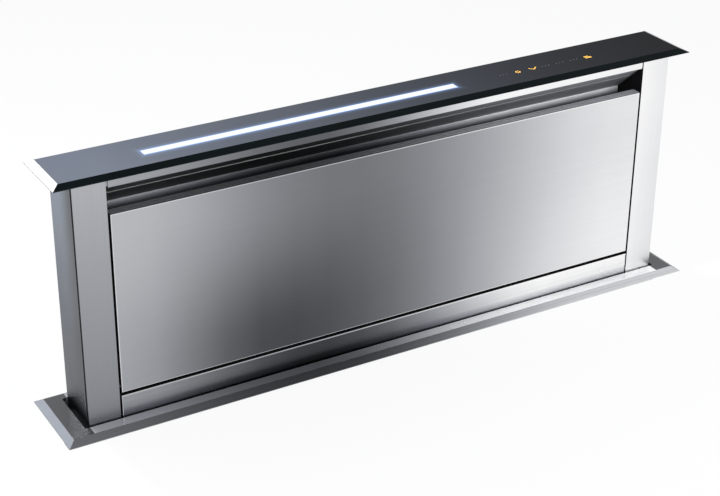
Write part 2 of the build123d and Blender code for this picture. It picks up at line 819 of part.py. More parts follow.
def volute(plane):
    """The outline of the scroll: mouth, lower lip, round the wheel, upper lip."""
    with BuildSketch(plane) as outline:
        with BuildLine():
            left = (fan_x - scroll_start, fan_z)
            bottom = (fan_x, fan_z - scroll_start)
            right = (fan_x + scroll_start + scroll_step, fan_z + scroll_step)
            top = (fan_x - scroll_step, mouth_top)
            Polyline((mouth_x, mouth_top), (mouth_x, mouth_bottom), (left[0], mouth_bottom), left)
            RadiusArc(left, bottom, -scroll_start)
            RadiusArc(bottom, right, -(scroll_start + scroll_step))
            RadiusArc(right, top, -(scroll_start + 2 * scroll_step))
            Line(top, (mouth_x, mouth_top))
        make_face()
    return outline.sketch


def facing_hob(y):
    """An upright plane at depth y, its normal towards the hob."""
    return Plane(origin=(0, y, 0), x_dir=(1, 0, 0), z_dir=(0, -1, 0))


wrap_back = scroll_back - scroll_sheet
wrap_width = scroll_width - 2 * scroll_sheet
with BuildPart() as scroll_wrap:
    extrude(volute(facing_hob(wrap_back)), amount=wrap_width)
    with BuildSketch(facing_hob(wrap_back)) as inside:
        add(volute(Plane.XY))
        offset(amount=-scroll_sheet, mode=Mode.REPLACE)
        with Locations([(mouth_x, spigot_z)]):
            Rectangle(2 * mouth_cut, scroll_mouth - 2 * scroll_sheet)
    extrude(inside.sketch, amount=wrap_width, mode=Mode.SUBTRACT)
save(scroll_wrap, "scroll_wrap")

with BuildPart() as scroll_sides:
    extrude(volute(facing_hob(scroll_back)), amount=scroll_sheet)
    start = (fan_x, scroll_back, fan_z)
    rod(start, (0, -1, 0), inlet_radius, scroll_sheet, Mode.SUBTRACT)
    with BuildSketch(Plane(origin=start, z_dir=(0, 1, 0))) as collar:
        Circle(inlet_radius + inlet_collar)
        Circle(inlet_radius, mode=Mode.SUBTRACT)
    extrude(collar.sketch, amount=scroll_setback)
    extrude(volute(facing_hob(scroll_front + scroll_sheet)), amount=scroll_sheet)
    start = (fan_x, scroll_front, fan_z)
    rod(start, (0, 1, 0), fan_shaft_radius + shaft_gap, scroll_sheet, Mode.SUBTRACT)
save(scroll_sides, "scroll_sides")

# ------------------------------------------------------------- wheel and its motor
with BuildPart() as fan_wheel:
    ring_in = fan_radius - blade_depth
    rod((fan_x, wheel_front, fan_z), (0, 1, 0), fan_radius, fan_disc)
    with BuildSketch(Plane(origin=(fan_x, wheel_back, fan_z), z_dir=(0, -1, 0))):
        Circle(fan_radius)
        Circle(ring_in, mode=Mode.SUBTRACT)
    extrude(amount=fan_ring)
    with BuildSketch(Plane(origin=(fan_x, wheel_front + fan_disc, fan_z), z_dir=(0, 1, 0))):
        with PolarLocations(fan_radius - blade_depth / 2, fan_blades):
            Rectangle(blade_depth, blade_thickness, rotation=blade_lean)
    extrude(amount=fan_width - fan_disc - fan_ring)
    rod((fan_x, wheel_front + fan_disc, fan_z), (0, 1, 0), fan_hub_radius, fan_hub_length)
    start = (fan_x, wheel_front, fan_z)
    rod(start, (0, 1, 0), fan_shaft_radius, fan_disc + fan_hub_length, Mode.SUBTRACT)
save(fan_wheel, "fan_wheel")

motor_back = scroll_front - motor_foot
motor_front = motor_back - fan_motor_length
shaft_tail = fan_motor_length / 2
shaft_front = motor_back - shaft_tail
hub_end = wheel_front + fan_disc + fan_hub_length
with BuildPart() as fan_shaft:
    rod((fan_x, shaft_front, fan_z), (0, 1, 0), fan_shaft_radius, hub_end - shaft_front)
save(fan_shaft, "fan_shaft")

with BuildPart() as fan_motor:
    rod((fan_x, motor_front, fan_z), (0, 1, 0), fan_motor_radius, fan_motor_length)
    fillet(fan_motor.edges(), fan_motor_round)
    with BuildSketch(Plane(origin=(fan_x, motor_back, fan_z), z_dir=(0, 1, 0))):
        with PolarLocations(fan_motor_radius - motor_foot_inset, motor_feet):
            Circle(motor_foot_radius)
    extrude(amount=motor_foot)
    start = (fan_x, motor_back, fan_z)
    rod(start, (0, -1, 0), fan_shaft_radius + shaft_gap, shaft_tail + run_gap, Mode.SUBTRACT)
save(fan_motor, "fan_motor")

# ------------------------------------------------------------------ outlet spigot
spigot_inner = spigot_radius - spigot_sheet
with BuildPart() as outlet_spigot:
    with BuildSketch(Plane(origin=(box_left, scroll_mid, spigot_z), z_dir=(-1, 0, 0))):
        Rectangle(spigot_plate, spigot_plate)
        Circle(spigot_inner, mode=Mode.SUBTRACT)
    extrude(amount=spigot_sheet)
    with BuildSketch(Plane(origin=(box_left, scroll_mid, spigot_z), z_dir=(-1, 0, 0))):
        Circle(spigot_radius)
        Circle(spigot_inner, mode=Mode.SUBTRACT)
    extrude(amount=spigot_length)
save(outlet_spigot, "outlet_spigot")

with BuildPart() as damper_pin:
    start = (damper_x, scroll_mid, spigot_z - spigot_inner)
    rod(start, (0, 0, 1), flap_pin_radius, 2 * spigot_inner)
    trim = Plane(origin=(spigot_end, scroll_mid, spigot_z), z_dir=(1, 0, 0))
    with BuildSketch(trim):
        Circle(spigot_inner)
    extrude(amount=spigot_length, mode=Mode.INTERSECT)
save(damper_pin, "damper_pin")

leaf_x = (damper_x - flap_sheet / 2, damper_x + flap_sheet / 2)
for side, sign in (("front", -1), ("back", 1)):
    with BuildPart() as flap:
        with BuildSketch(Plane(origin=(leaf_x[0], scroll_mid, spigot_z), z_dir=(1, 0, 0))):
            Circle(spigot_inner - flap_edge_gap)
        extrude(amount=flap_sheet)
        keep_y = (scroll_mid + sign * (flap_barrel + run_gap), scroll_mid + sign * spigot_radius)
        keep_z = (spigot_z - spigot_radius, spigot_z + spigot_radius)
        block(leaf_x, keep_y, keep_z, Mode.INTERSECT)
        for offset_z in (-flap_knuckle_offset, flap_knuckle_offset):
            level = spigot_z + offset_z + sign * flap_knuckle / 2
            leaf_z = (level - flap_knuckle / 2 + run_gap, level + flap_knuckle / 2 - run_gap)
            rod((damper_x, scroll_mid, leaf_z[0]), (0, 0, 1), flap_barrel, leaf_z[1] - leaf_z[0])
            block(leaf_x, (scroll_mid, scroll_mid + sign * flap_root), leaf_z)
        start = (damper_x, scroll_mid, keep_z[0])
        bore = flap_pin_radius + shaft_gap
        rod(start, (0, 0, 1), bore, keep_z[1] - keep_z[0], Mode.SUBTRACT)
    save(flap, f"damper_{side}")

# -------------------------------------------------------------------- control box
control_front = case_front - control_depth
control_z = (base_z + control_lift, base_z + control_lift + control_height)
wall = control_sheet
with BuildPart() as control_box:
    block(control_x, (control_front + wall, case_front), control_z)
    cavity_x = (control_x[0] + wall, control_x[1] - wall)
    cavity_z = (control_z[0] + wall, control_z[1] - wall)
    block(cavity_x, (control_front + wall, case_front - wall), cavity_z, Mode.SUBTRACT)
    gland_y = case_front - control_depth / 2
    gland_z = sum(control_z) / 2
    start = (cavity_x[1], gland_y, gland_z)
    rod(start, (1, 0, 0), gland_thread_radius, wall, Mode.SUBTRACT)
save(control_box, "control_box")

with BuildPart() as control_cover:
    block(control_x, (control_front, control_front + wall), control_z)
    fillet(control_cover.edges().filter_by(Axis.Y), wall)
save(control_cover, "control_cover")

with BuildPart() as control_board:
    board_y = case_front - wall - board_spacer
    wide = (cavity_x[0] + board_margin, cavity_x[1] - board_margin)
    tall = (cavity_z[0] + board_margin, cavity_z[1] - board_margin)
    block(wide, (board_y - board_thickness, board_y), tall)
    for x in (wide[0] + board_margin, wide[1] - board_margin):
        for z in (tall[0] + board_margin, tall[1] - board_margin):
            rod((x, board_y, z), (0, 1, 0), screw_head_radius, board_spacer)
save(control_board, "control_board")

with BuildPart() as cable_gland:
    start = (control_x[1], gland_y, gland_z)
    with BuildSketch(Plane(origin=start, z_dir=(1, 0, 0))):
        RegularPolygon(gland_radius, 6)
    extrude(amount=gland_nut)
    rod(start, (1, 0, 0), gland_thread_radius, gland_length)
    rod(start, (-1, 0, 0), gland_thread_radius, wall + gland_tail)
    through = (control_x[1] - wall - gland_tail, gland_y, gland_z)
    rod(through, (1, 0, 0), gland_bore, gland_length + wall + gland_tail, Mode.SUBTRACT)
save(cable_gland, "cable_gland")

# --------------------------------------------------------------------------- feet
with BuildPart() as feet:
    for x, y in foot_spots:
        rod((x, y, base_z - foot_height), (0, 0, 1), foot_radius, foot_pad)
        stud = foot_height - foot_pad + casing_sheet + foot_nut
        rod((x, y, base_z - foot_height + foot_pad), (0, 0, 1), foot_stud_radius, stud)
        with BuildSketch(Plane(origin=(x, y, floor_z))):
            RegularPolygon(foot_nut_radius, 6)
        extrude(amount=foot_nut)
        with BuildSketch(Plane(origin=(x, y, base_z), z_dir=(0, 0, -1))):
            RegularPolygon(foot_nut_radius, 6)
        extrude(amount=foot_nut)
save(feet, "feet")
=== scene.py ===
import math

import bmesh
import bpy
from mathutils import Matrix, Vector


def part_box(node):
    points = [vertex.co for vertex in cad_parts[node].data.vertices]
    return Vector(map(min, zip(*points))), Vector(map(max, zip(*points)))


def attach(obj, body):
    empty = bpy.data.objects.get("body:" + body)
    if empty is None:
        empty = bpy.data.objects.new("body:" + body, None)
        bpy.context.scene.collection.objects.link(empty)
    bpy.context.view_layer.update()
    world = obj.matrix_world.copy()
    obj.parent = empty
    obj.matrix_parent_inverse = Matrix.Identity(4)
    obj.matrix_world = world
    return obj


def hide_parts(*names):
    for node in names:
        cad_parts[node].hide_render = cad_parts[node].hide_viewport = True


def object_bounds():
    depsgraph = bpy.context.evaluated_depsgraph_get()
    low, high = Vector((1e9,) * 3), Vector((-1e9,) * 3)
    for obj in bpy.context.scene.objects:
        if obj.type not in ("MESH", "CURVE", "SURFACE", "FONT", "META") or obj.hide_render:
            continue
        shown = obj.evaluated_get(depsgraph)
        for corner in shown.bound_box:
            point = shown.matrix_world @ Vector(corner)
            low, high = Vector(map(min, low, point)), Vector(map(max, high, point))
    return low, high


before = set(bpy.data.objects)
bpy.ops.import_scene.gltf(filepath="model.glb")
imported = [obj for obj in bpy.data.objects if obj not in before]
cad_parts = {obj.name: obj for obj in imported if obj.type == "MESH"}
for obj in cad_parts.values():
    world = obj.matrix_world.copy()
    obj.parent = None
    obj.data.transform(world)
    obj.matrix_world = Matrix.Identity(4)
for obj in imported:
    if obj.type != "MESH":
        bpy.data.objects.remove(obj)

cad_low, cad_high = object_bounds()
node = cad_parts
studio = bpy.context.scene

# ------------------------------------------------------------------ studio
# A plain pale studio: a floor under the feet, a thin pale worktop piece in front
# of the flange, which hides what is built in below it, and soft lamps.
camera_spot = Vector((-0.9817, -1.6350, 1.1080))
look = Vector((0.4470, 0.7675, -0.4595)).normalized()
roll = math.radians(0.5)
focal_length, sensor_width = 84.73, 36


def placed(name, data):
    """An object in the studio, at the origin."""
    made = bpy.data.objects.new(name, data)
    studio.collection.objects.link(made)
    return made


level_right = look.cross(Vector((0, 0, 1))).normalized()
level_up = level_right.cross(look)
right = level_right * math.cos(roll) + level_up * math.sin(roll)
up = right.cross(look)
lens = bpy.data.cameras.new("camera")
lens.lens = focal_length
lens.sensor_width = sensor_width
camera = placed("camera", lens)
turn = Matrix((right, up, -look)).transposed().to_4x4()
camera.matrix_world = Matrix.Translation(camera_spot) @ turn
studio.camera = camera
studio.view_settings.view_transform = "Standard"


def feed(tree, made, values):
    """Joins sockets to a node's inputs, or sets the inputs to plain values."""
    for key, value in values.items():
        if isinstance(value, bpy.types.NodeSocket):
            tree.links.new(value, made.inputs[key])
        else:
            made.inputs[key].default_value = value


def wired(tree, kind, values=None, **settings):
    """A new node in a tree, with its settings and what goes into its inputs."""
    made = tree.nodes.new(kind)
    for key, value in settings.items():
        setattr(made, key, value)
    feed(tree, made, values or {})
    return made


def reckoned(tree, operation, *values, **settings):
    """What a Math node makes of sockets or plain numbers."""
    made = wired(tree, "ShaderNodeMath", dict(enumerate(values)), operation=operation, **settings)
    return made.outputs[0]


def mirrored(tree, path):
    """Whether a ray comes off metal or through glass."""
    return reckoned(tree, "MAXIMUM", path.outputs["Is Glossy Ray"], path.outputs["Is Transmission Ray"])


mirrored_share = 0.97


def paper_white(name, share):
    """The share of it that is even white to the camera; in reflections nearly all is."""
    paper = bpy.data.materials.new(name)
    paper.use_nodes = True
    tree = paper.node_tree
    tree.nodes.clear()
    matt = wired(tree, "ShaderNodeBsdfDiffuse", {"Color": (0.86, 0.86, 0.86, 1)})
    glow = wired(tree, "ShaderNodeEmission")
    path = wired(tree, "ShaderNodeLightPath")
    direct = reckoned(tree, "MULTIPLY", path.outputs["Is Camera Ray"], share)
    echo = reckoned(tree, "MULTIPLY", mirrored(tree, path), mirrored_share)
    even = reckoned(tree, "MAXIMUM", direct, echo)
    mix = wired(tree, "ShaderNodeMixShader", {0: even, 1: matt.outputs[0], 2: glow.outputs[0]})
    wired(tree, "ShaderNodeOutputMaterial", {"Surface": mix.outputs[0]})
    return paper


def stage_block(name, low, high, top, sides):
    """A plain block of the studio, with its own finish on top."""
    outline = ((low[0], low[1]), (high[0], low[1]), (high[0], high[1]), (low[0], high[1]))
    corners = [(x, y, z) for z in (low[2], high[2]) for x, y in outline]
    walls = [(i, (i + 1) % 4, (i + 1) % 4 + 4, i + 4) for i in range(4)]
    form = bpy.data.meshes.new(name)
    form.from_pydata(corners, [], [(3, 2, 1, 0), (4, 5, 6, 7)] + walls)
    form.materials.append(sides)
    form.materials.append(top)
    form.polygons[1].material_index = 1
    placed(name, form)


paper = paper_white("paper_white", 0.86)
worktop_edge = paper_white("worktop_edge", 0.3)
ground = cad_low.z - 0.0005
floor_half, slab = 15, 0.02
stage_block(
    "studio_floor", (-floor_half, -floor_half, ground - slab), (floor_half, floor_half, ground), paper, paper
)
worktop_low, worktop_high = (-0.60, -0.53, -slab), (0.56, -0.0615, 0)
end_low, end_high = (worktop_low[0], worktop_high[1], -slab), (-0.4505, 0.02, 0)
stage_block("worktop_piece", worktop_low, worktop_high, paper, worktop_edge)
stage_block("worktop_end", end_low, end_high, paper, worktop_edge)

sky = bpy.data.worlds.new("studio_light")
studio.world = sky
sky.use_nodes = True
sky.node_tree.nodes.clear()
path = wired(sky.node_tree, "ShaderNodeLightPath")
seen = reckoned(sky.node_tree, "MAXIMUM", path.outputs["Is Camera Ray"], mirrored(sky.node_tree, path))
soft = wired(sky.node_tree, "ShaderNodeBackground", {"Color": (0.97, 0.98, 1, 1), "Strength": 0.6})
white = wired(sky.node_tree, "ShaderNodeBackground", {"Color": (1, 1, 1, 1)})
mix = wired(sky.node_tree, "ShaderNodeMixShader", {0: seen, 1: soft.outputs[0], 2: white.outputs[0]})
wired(sky.node_tree, "ShaderNodeOutputWorld", {"Surface": mix.outputs[0]})


def lamp(name, spot, aim, size, power):
    """A square soft lamp at a spot, aimed at a point."""
    bulb = bpy.data.lights.new(name, "AREA")
    bulb.shape = "SQUARE"
    bulb.size = size
    bulb.energy = power
    made = placed(name, bulb)
    facing = (Vector(aim) - Vector(spot)).to_track_quat("-Z", "Y").to_matrix().to_4x4()
    made.matrix_world = Matrix.Translation(spot) @ facing
    return made


lamp("key_lamp", (-2.1, -3.2, 2.45), (0, 0, 0), 2.2, 56)
lamp("fill_lamp", (1.0, -3.2, 2.0), (0, 0, 0.2), 1.5, 66).visible_glossy = False
lamp("back_lamp", (-1.6, 2.4, 3.4), (0, 0, -0.2), 2.0, 34)
# This one glints off the bevel at the left end of the glass.
bevel_glint = Vector((-0.1135, 0.8628, 0.492)).normalized()
bevel_spot = Vector((-0.435, 0, 0.322))
lamp("bevel_lamp", bevel_spot + bevel_glint * 3, bevel_spot, 0.42, 42)

# ---------------------------------------------------------- mounting flange
# A stainless frame lying on the worktop, with bevelled edges. It is machined and
# polished on top and brushed along its bevels, and stands on a thin rubber gasket.


def group(name, inputs, outputs):
    """A shader node group, with its input node and its output node."""
    made = bpy.data.node_groups.new(name, "ShaderNodeTree")
    for label, kind, value in inputs:
        made.interface.new_socket(label, in_out="INPUT", socket_type=kind).default_value = value
    for label in outputs:
        made.interface.new_socket(label, in_out="OUTPUT", socket_type="NodeSocketFloat")
    return made, made.nodes.new("NodeGroupInput"), made.nodes.new("NodeGroupOutput")


# The grain of brushed or rolled sheet: fine lines, and wider cloudy patches.
grain_lines, given, gives = group(
    "grain_lines",
    [("Stretch", "NodeSocketVector", (1, 1, 1)), ("Patch", "NodeSocketFloat", 9.0)],
    ["Lines", "Clouds"],
)
place = wired(grain_lines, "ShaderNodeTexCoord").outputs["Object"]
pull = wired(
    grain_lines, "ShaderNodeVectorMath", {0: place, 1: given.outputs["Stretch"]}, operation="MULTIPLY"
)
line_values = {"Vector": pull.outputs[0], "Scale": 1, "Detail": 3, "Roughness": 0.65}
cloud_values = {"Vector": place, "Scale": given.outputs["Patch"], "Detail": 3}
lines = wired(grain_lines, "ShaderNodeTexNoise", line_values)
clouds = wired(grain_lines, "ShaderNodeTexNoise", cloud_values)
feed(grain_lines, gives, {"Lines": lines.outputs["Fac"], "Clouds": clouds.outputs["Fac"]})
white_tint = (1, 1, 1)


class Finish:
    """A material under construction: its Principled shader and short ways to add nodes."""

    def __init__(self, name):
        self.material = bpy.data.materials.new(name)
        self.material.use_nodes = True
        self.tree = self.material.node_tree
        self.face = self.tree.nodes["Principled BSDF"]

    def shows(self, values):
        """What goes into the inputs of the Principled shader."""
        feed(self.tree, self.face, values)

    def add(self, kind, values=None, **settings):
        return wired(self.tree, kind, values, **settings)

    def maths(self, operation, *values, **settings):
        return reckoned(self.tree, operation, *values, **settings)

    def grain(self, stretch, patch):
        """The lines and the clouds of the grain. A plain stretch is the same all ways."""
        ways = stretch if isinstance(stretch, tuple) else (stretch,) * 3
        made = self.add("ShaderNodeGroup", {"Stretch": ways, "Patch": patch}, node_tree=grain_lines)
        return made.outputs["Lines"], made.outputs["Clouds"]

    def along(self, direction, offset=0.0):
        """Distance of a point along a direction, in metres, from object coordinates."""
        place = self.add("ShaderNodeTexCoord").outputs["Object"]
        dot = self.add("ShaderNodeVectorMath", {0: place, 1: direction}, operation="DOT_PRODUCT")
        return self.maths("ADD", dot.outputs["Value"], offset)

    def ramp(self, value, stops):
        """A value as a colour, from stops of (place, colour)."""
        made = self.add("ShaderNodeValToRGB", {"Fac": value})
        bar = made.color_ramp.elements
        while len(bar) < len(stops):
            bar.new(0.5)
        for element, (position, colour) in zip(bar, stops):
            element.position = position
            element.color = (*colour, 1)
        return made.outputs["Color"]

    def smoothed(self, value, start, end, low=0.0, high=1.0):
        """A smooth change from low to high, while a value goes from start to end."""
        spans = {"Value": value, "From Min": start, "From Max": end, "To Min": low, "To Max": high}
        made = self.add("ShaderNodeMapRange", spans, interpolation_type="SMOOTHSTEP")
        return made.outputs["Result"]

    def scaled(self, value, low, high):
        """A noise value, which lies mostly in 0.3 to 0.7, spread over low to high."""
        return self.smoothed(value, 0.25, 0.75, low, high)

    def tinted(self, value, deep, bright=white_tint):
        """A noise value as a colour, from a deep one to a bright one."""
        return self.ramp(self.scaled(value, 0, 1), [(0, deep), (1, bright)])

    def mixed(self, kind, factor, first, second):
        """Two colours mixed, each a socket or a plain colour."""
        first, second = (
            colour if isinstance(colour, bpy.types.NodeSocket) else (*colour, 1)
            for colour in (first, second)
        )
        made = self.add("ShaderNodeMix", {0: factor, 6: first, 7: second}, data_type="RGBA", blend_type=kind)
        return made.outputs[2]

    def times(self, first, *others):
        """Colours multiplied together."""
        for colour in others:
            first = self.mixed("MULTIPLY", 1.0, first, colour)
        return first

    def bump(self, value, strength, distance):
        made = self.add("ShaderNodeBump", {"Height": value, "Strength": strength, "Distance": distance})
        self.shows({"Normal": made.outputs["Normal"]})


steel_tint = (0.965, 1, 1.075)
tone_steps = 16
across_x, across_y, up_z = (1, 0, 0), (0, 1, 0), (0, 0, 1)


def grey(level, tint=steel_tint):
    """A grey as it shows on screen, 0 to 255, in linear numbers. The palest are neutral."""
    shown = level / 255
    plain = shown / 12.92 if shown <= 0.04045 else ((shown + 0.055) / 1.055) ** 2.4
    pale_share = max(0.0, shown - 0.6) / 0.4
    return tuple(min(1.0, plain * (t + (1 - t) * pale_share)) for t in tint)


def brushed(name, stretch, tone, roughness=(0.24, 0.36), contrast=0.10, metallic=1.0, bumps=0.10):
    """Stainless sheet. tone(finish) gives its base colour, as a socket or a plain colour."""
    made = Finish(name)
    lines, clouds = made.grain(stretch, 7.0)
    base = tone(made) if callable(tone) else tone
    fine = made.tinted(lines, (1 - contrast,) * 3)
    broad = made.tinted(clouds, (0.95, 0.95, 0.955))
    made.shows({
        "Base Color": made.times(base, fine, broad),
        "Roughness": made.scaled(clouds, *roughness),
        "Metallic": metallic,
    })
    made.bump(lines, bumps, 0.00002)
    return made.material


def toned(axis, low, high, level, tint):
    """Tone along an axis, from low to high in metres. level(share) gives the screen grey."""

    def tone(finish):
        share = finish.maths("MULTIPLY", finish.along(axis, -low), 1 / (high - low))
        stops = [i / tone_steps for i in range(tone_steps + 1)]
        return finish.ramp(share, [(stop, grey(level(stop), tint)) for stop in stops])

    return tone


def painted_sweep(left, dark, light, spot=0.3, full=1.0, half=0.45, tint=steel_tint):
    """A painted reflection of the studio in steel, along X: grey at the left end, darkest at
    the share spot of the width, and light from the share full of it."""

    def level(share):
        start, end = (left, dark) if share < spot else (dark, light)
        way = share / spot if share < spot else min(1.0, (share - spot) / (full - spot))
        return start + (end - start) * way * way * (3 - 2 * way)

    return toned(across_x, -half, half, level, tint)


def rising(low, high, foot, head, axis=up_z, tint=steel_tint):
    """An even change from one screen grey to another."""
    return toned(axis, low, high, lambda share: foot + (head - foot) * share, tint)


def paint(material, *names):
    """Gives CAD nodes their finish."""
    for name in names:
        slots = node[name].data.materials
        if not slots:
            slots.append(material)
        for i in range(len(slots)):
            slots[i] = material


def eased(name, piece, body, width, face, edge):
    """A copy of a solid with its sharp edges eased by a small bevel, whose faces take the edge finish,
    mostly a painted edge highlight.
    """
    copy = node[name].data.copy()
    form = bmesh.new()
    form.from_mesh(copy)
    bmesh.ops.remove_doubles(form, verts=form.verts, dist=0.000002)
    bmesh.ops.dissolve_degenerate(form, edges=form.edges, dist=0.000001)
    form.to_mesh(copy)
    form.free()
    copy.materials.clear()
    copy.materials.append(face)
    copy.materials.append(edge)
    for polygon in copy.polygons:
        polygon.material_index = 0
        polygon.use_smooth = False
    rough = placed(piece + "_rough", copy)
    ease = rough.modifiers.new("ease", "BEVEL")
    ease.width = width
    ease.segments = 2
    ease.limit_method = "ANGLE"
    ease.angle_limit = math.radians(25)
    ease.material = 1
    ease.use_clamp_overlap = True
    seen = rough.evaluated_get(bpy.context.evaluated_depsgraph_get())
    mesh = bpy.data.meshes.new_from_object(seen)
    mesh.name = piece
    bpy.data.objects.remove(rough)
    made = placed(piece, mesh)
    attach(made, body)
    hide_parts(name)
    return made


def faced(piece, material, chosen):
    """Gives the faces of a piece that chosen() picks a finish of their own."""
    piece.data.materials.append(material)
    last = len(piece.data.materials) - 1
    for face in piece.data.polygons:
        if chosen(face):
            face.material_index = last


column_end, column_back = 0.415, 0.036
along_grain = (2, 900, 900)


def flange_reflection_tone(finish):
    """Painted reflection: bright in front of the column, plain behind it, dark grey past its ends."""
    front = painted_sweep(185, 110, 255, 0.37, 0.68)(finish)
    behind = finish.maths("GREATER_THAN", finish.along(across_y), column_back)
    seen = finish.mixed("MIX", behind, front, grey(170))
    reach = finish.maths("ABSOLUTE", finish.along(across_x))
    past = finish.maths("GREATER_THAN", reach, column_end)
    return finish.mixed("MIX", past, seen, grey(72))


def is_plain(face):
    """A face that no edge or other finish has taken."""
    return face.material_index == 0


def on_bevel(face):
    return 0.3 < face.normal.z < 0.95


flange_steel = brushed("flange_steel", along_grain, flange_reflection_tone, (0.2, 0.3), 0.06, 0.4, 0.05)
# The flange's edges and bevels carry painted reflections along X.
flange_edge = brushed("flange_edge", (2, 700, 700), painted_sweep(130, 80, 230, 0.37, 0.85))
bevel_reflection_tone = painted_sweep(115, 60, 215, 0.37, 0.85)
flange_slope = brushed("flange_bevel_steel", along_grain, bevel_reflection_tone, (0.3, 0.42), 0.22)
# The left bevels are painted pale and bluish as lit, the right ones dark as shaded.
lit_slope_grey = grey(146, (0.92, 1, 1.16))
lit_slope_left = brushed("flange_left_lit_steel", (900, 2, 900), lit_slope_grey, (0.3, 0.42), 0.08, 0.22)
shaded_slope_right = brushed("flange_right_shaded_steel", (900, 2, 900), grey(36), (0.4, 0.5), 0.08, 0.22)
flange = eased("flange", "flange_plate", "housing", 0.0003, flange_steel, flange_edge)
faced(flange, flange_slope, lambda face: is_plain(face) and on_bevel(face))
faced(flange, lit_slope_left, lambda face: on_bevel(face) and face.normal.x < -0.3)
faced(flange, shaded_slope_right, lambda face: on_bevel(face) and face.normal.x > 0.3)


def moulded(name, colour, deep, roughness, scale=400.0, bump=0.15, metallic=0.0, **own):
    """A cast, moulded or painted surface: fine grain and slow change of colour. own holds
    other inputs of its shader."""
    made = Finish(name)
    lines, clouds = made.grain(scale, 14.0)
    cloudy = made.mixed("MIX", made.scaled(clouds, 0, 1), deep, colour)
    made.shows({
        "Base Color": made.times(cloudy, made.tinted(lines, (0.88, 0.88, 0.88))),
        "Roughness": made.scaled(clouds, *roughness),
        "Metallic": metallic,
        **own,
    })
    made.bump(lines, bump, 0.0002)
    return made.material


rubber = moulded("black_rubber", (0.022, 0.022, 0.024), (0.012, 0.012, 0.013), (0.6, 0.78), 700)
paint(rubber, "flange_gasket", "wiper_seal")

# Galvanised sheet: zinc crystals of a few millimetres, each its own grey.
crystals, given, gives = group(
    "zinc_crystals", [("Size", "NodeSocketFloat", 95.0)], ["Shade", "Sheen"]
)
place = wired(crystals, "ShaderNodeTexCoord").outputs["Object"]
crystal = wired(crystals, "ShaderNodeTexVoronoi", {"Vector": place, "Scale": given.outputs["Size"]})
pick = wired(crystals, "ShaderNodeSeparateColor", {0: crystal.outputs["Color"]})
feed(crystals, gives, {"Shade": pick.outputs[0], "Sheen": pick.outputs[1]})


def galvanised(name, tint=(0.47, 0.485, 0.50), dark=(0.37, 0.385, 0.40), size=95.0):
    """Zinc-coated sheet, with its crystals and a broad change of shade."""
    made = Finish(name)
    spangle = made.add("ShaderNodeGroup", {"Size": size}, node_tree=crystals)
    lines, clouds = made.grain(240, 5.0)
    colour = made.mixed("MIX", spangle.outputs["Shade"], dark, tint)
    sheen = made.add(
        "ShaderNodeMapRange", {"Value": spangle.outputs["Sheen"], "To Min": 0.32, "To Max": 0.50}
    )
    made.shows({
        "Base Color": made.times(colour, made.tinted(clouds, (0.84, 0.85, 0.86))),
        "Roughness": sheen.outputs["Result"],
        "Metallic": 0.9,
    })
    made.bump(lines, 0.10, 0.0001)
    return made.material


zinc_sheet = galvanised("galvanised_sheet")
paint(zinc_sheet, "mounting_frame")

# ---------------------------------------------------------- seal and guides
# Nylon blocks in the neck of the casing guide the column, below a rubber seal
# that wipes it as it goes down.
nylon = moulded("natural_nylon", (0.74, 0.72, 0.66), (0.62, 0.60, 0.54), (0.42, 0.55), 260, 0.08)
paint(nylon, "neck_guides", "guide_shoes")

# -------------------------------------------------------------- glass top
# One plate of black glass with ground bevels, glued on the tray. Its back is
# printed black, with a clear window for the light bar and for the touch marks.
bar_low, bar_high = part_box("light_diffuser")
halo_reach = 0.011
glass = Finish("black_glass")


def beyond(finish, axis, low, high):
    """How far a point lies outside a span along an axis, in metres."""
    near = finish.maths("ABSOLUTE", finish.along(axis, -(low + high) / 2))
    return finish.maths("SUBTRACT", near, (high - low) / 2, use_clamp=True)


# The glass round the light bar glows blue: painted light spill from the bar, as emission.
sideways = beyond(glass, across_y, bar_low.y, bar_high.y)
endways = beyond(glass, across_x, bar_low.x, bar_high.x)
halo = glass.maths("DIVIDE", glass.maths("MAXIMUM", sideways, endways), halo_reach)
spill = glass.ramp(
    halo,
    [(0, (0.2, 0.34, 0.72)), (0.16, (0.06, 0.10, 0.2)), (0.5, (0.012, 0.018, 0.035)), (1, (0, 0, 0))],
)
# Painted reflection on the glass: grey at the left end, fading to black at the right.
glass_reflection_tone = rising(-0.38, 0.44, 120, 18, across_x, (0.90, 1, 1.22))(glass)
clouds = glass.grain(60, 6.0)[1]
glass.shows({
    "Base Color": glass.times(glass_reflection_tone, glass.tinted(clouds, (0.9, 0.92, 0.96))),
    "Roughness": glass.scaled(clouds, 0.045, 0.085),
    "IOR": 1.06,
    "Emission Color": spill,
    "Emission Strength": 1,
})
glass_bevel = Finish("ground_glass_bevel")
clouds = glass_bevel.grain(90, 8.0)[1]
glass_bevel.shows({
    "Base Color": glass_bevel.tinted(clouds, (0.0006, 0.002, 0.0025), (0.001, 0.004, 0.005)),
    "Roughness": glass_bevel.scaled(clouds, 0.05, 0.08),
    "IOR": 1.13,
})
# The glass's eased edge is painted as a highlight, paler at the left end.
arris_highlight_tone = rising(-0.44, 0.30, 150, 50, across_x)
glass_arris = brushed("glass_arris", 40, arris_highlight_tone, (0.10, 0.16), 0.05)
glass_plate = eased(
    "glass_top", "glass_plate", "column", 0.0003, glass.material, glass_arris
)
print_depth = 0.00005
glass_face = cad_high.z - print_depth
for corner in glass_plate.data.vertices:
    corner.co.z = min(corner.co.z, glass_face)
faced(glass_plate, glass_bevel.material, lambda face: is_plain(face) and face.normal.z < 0.98)
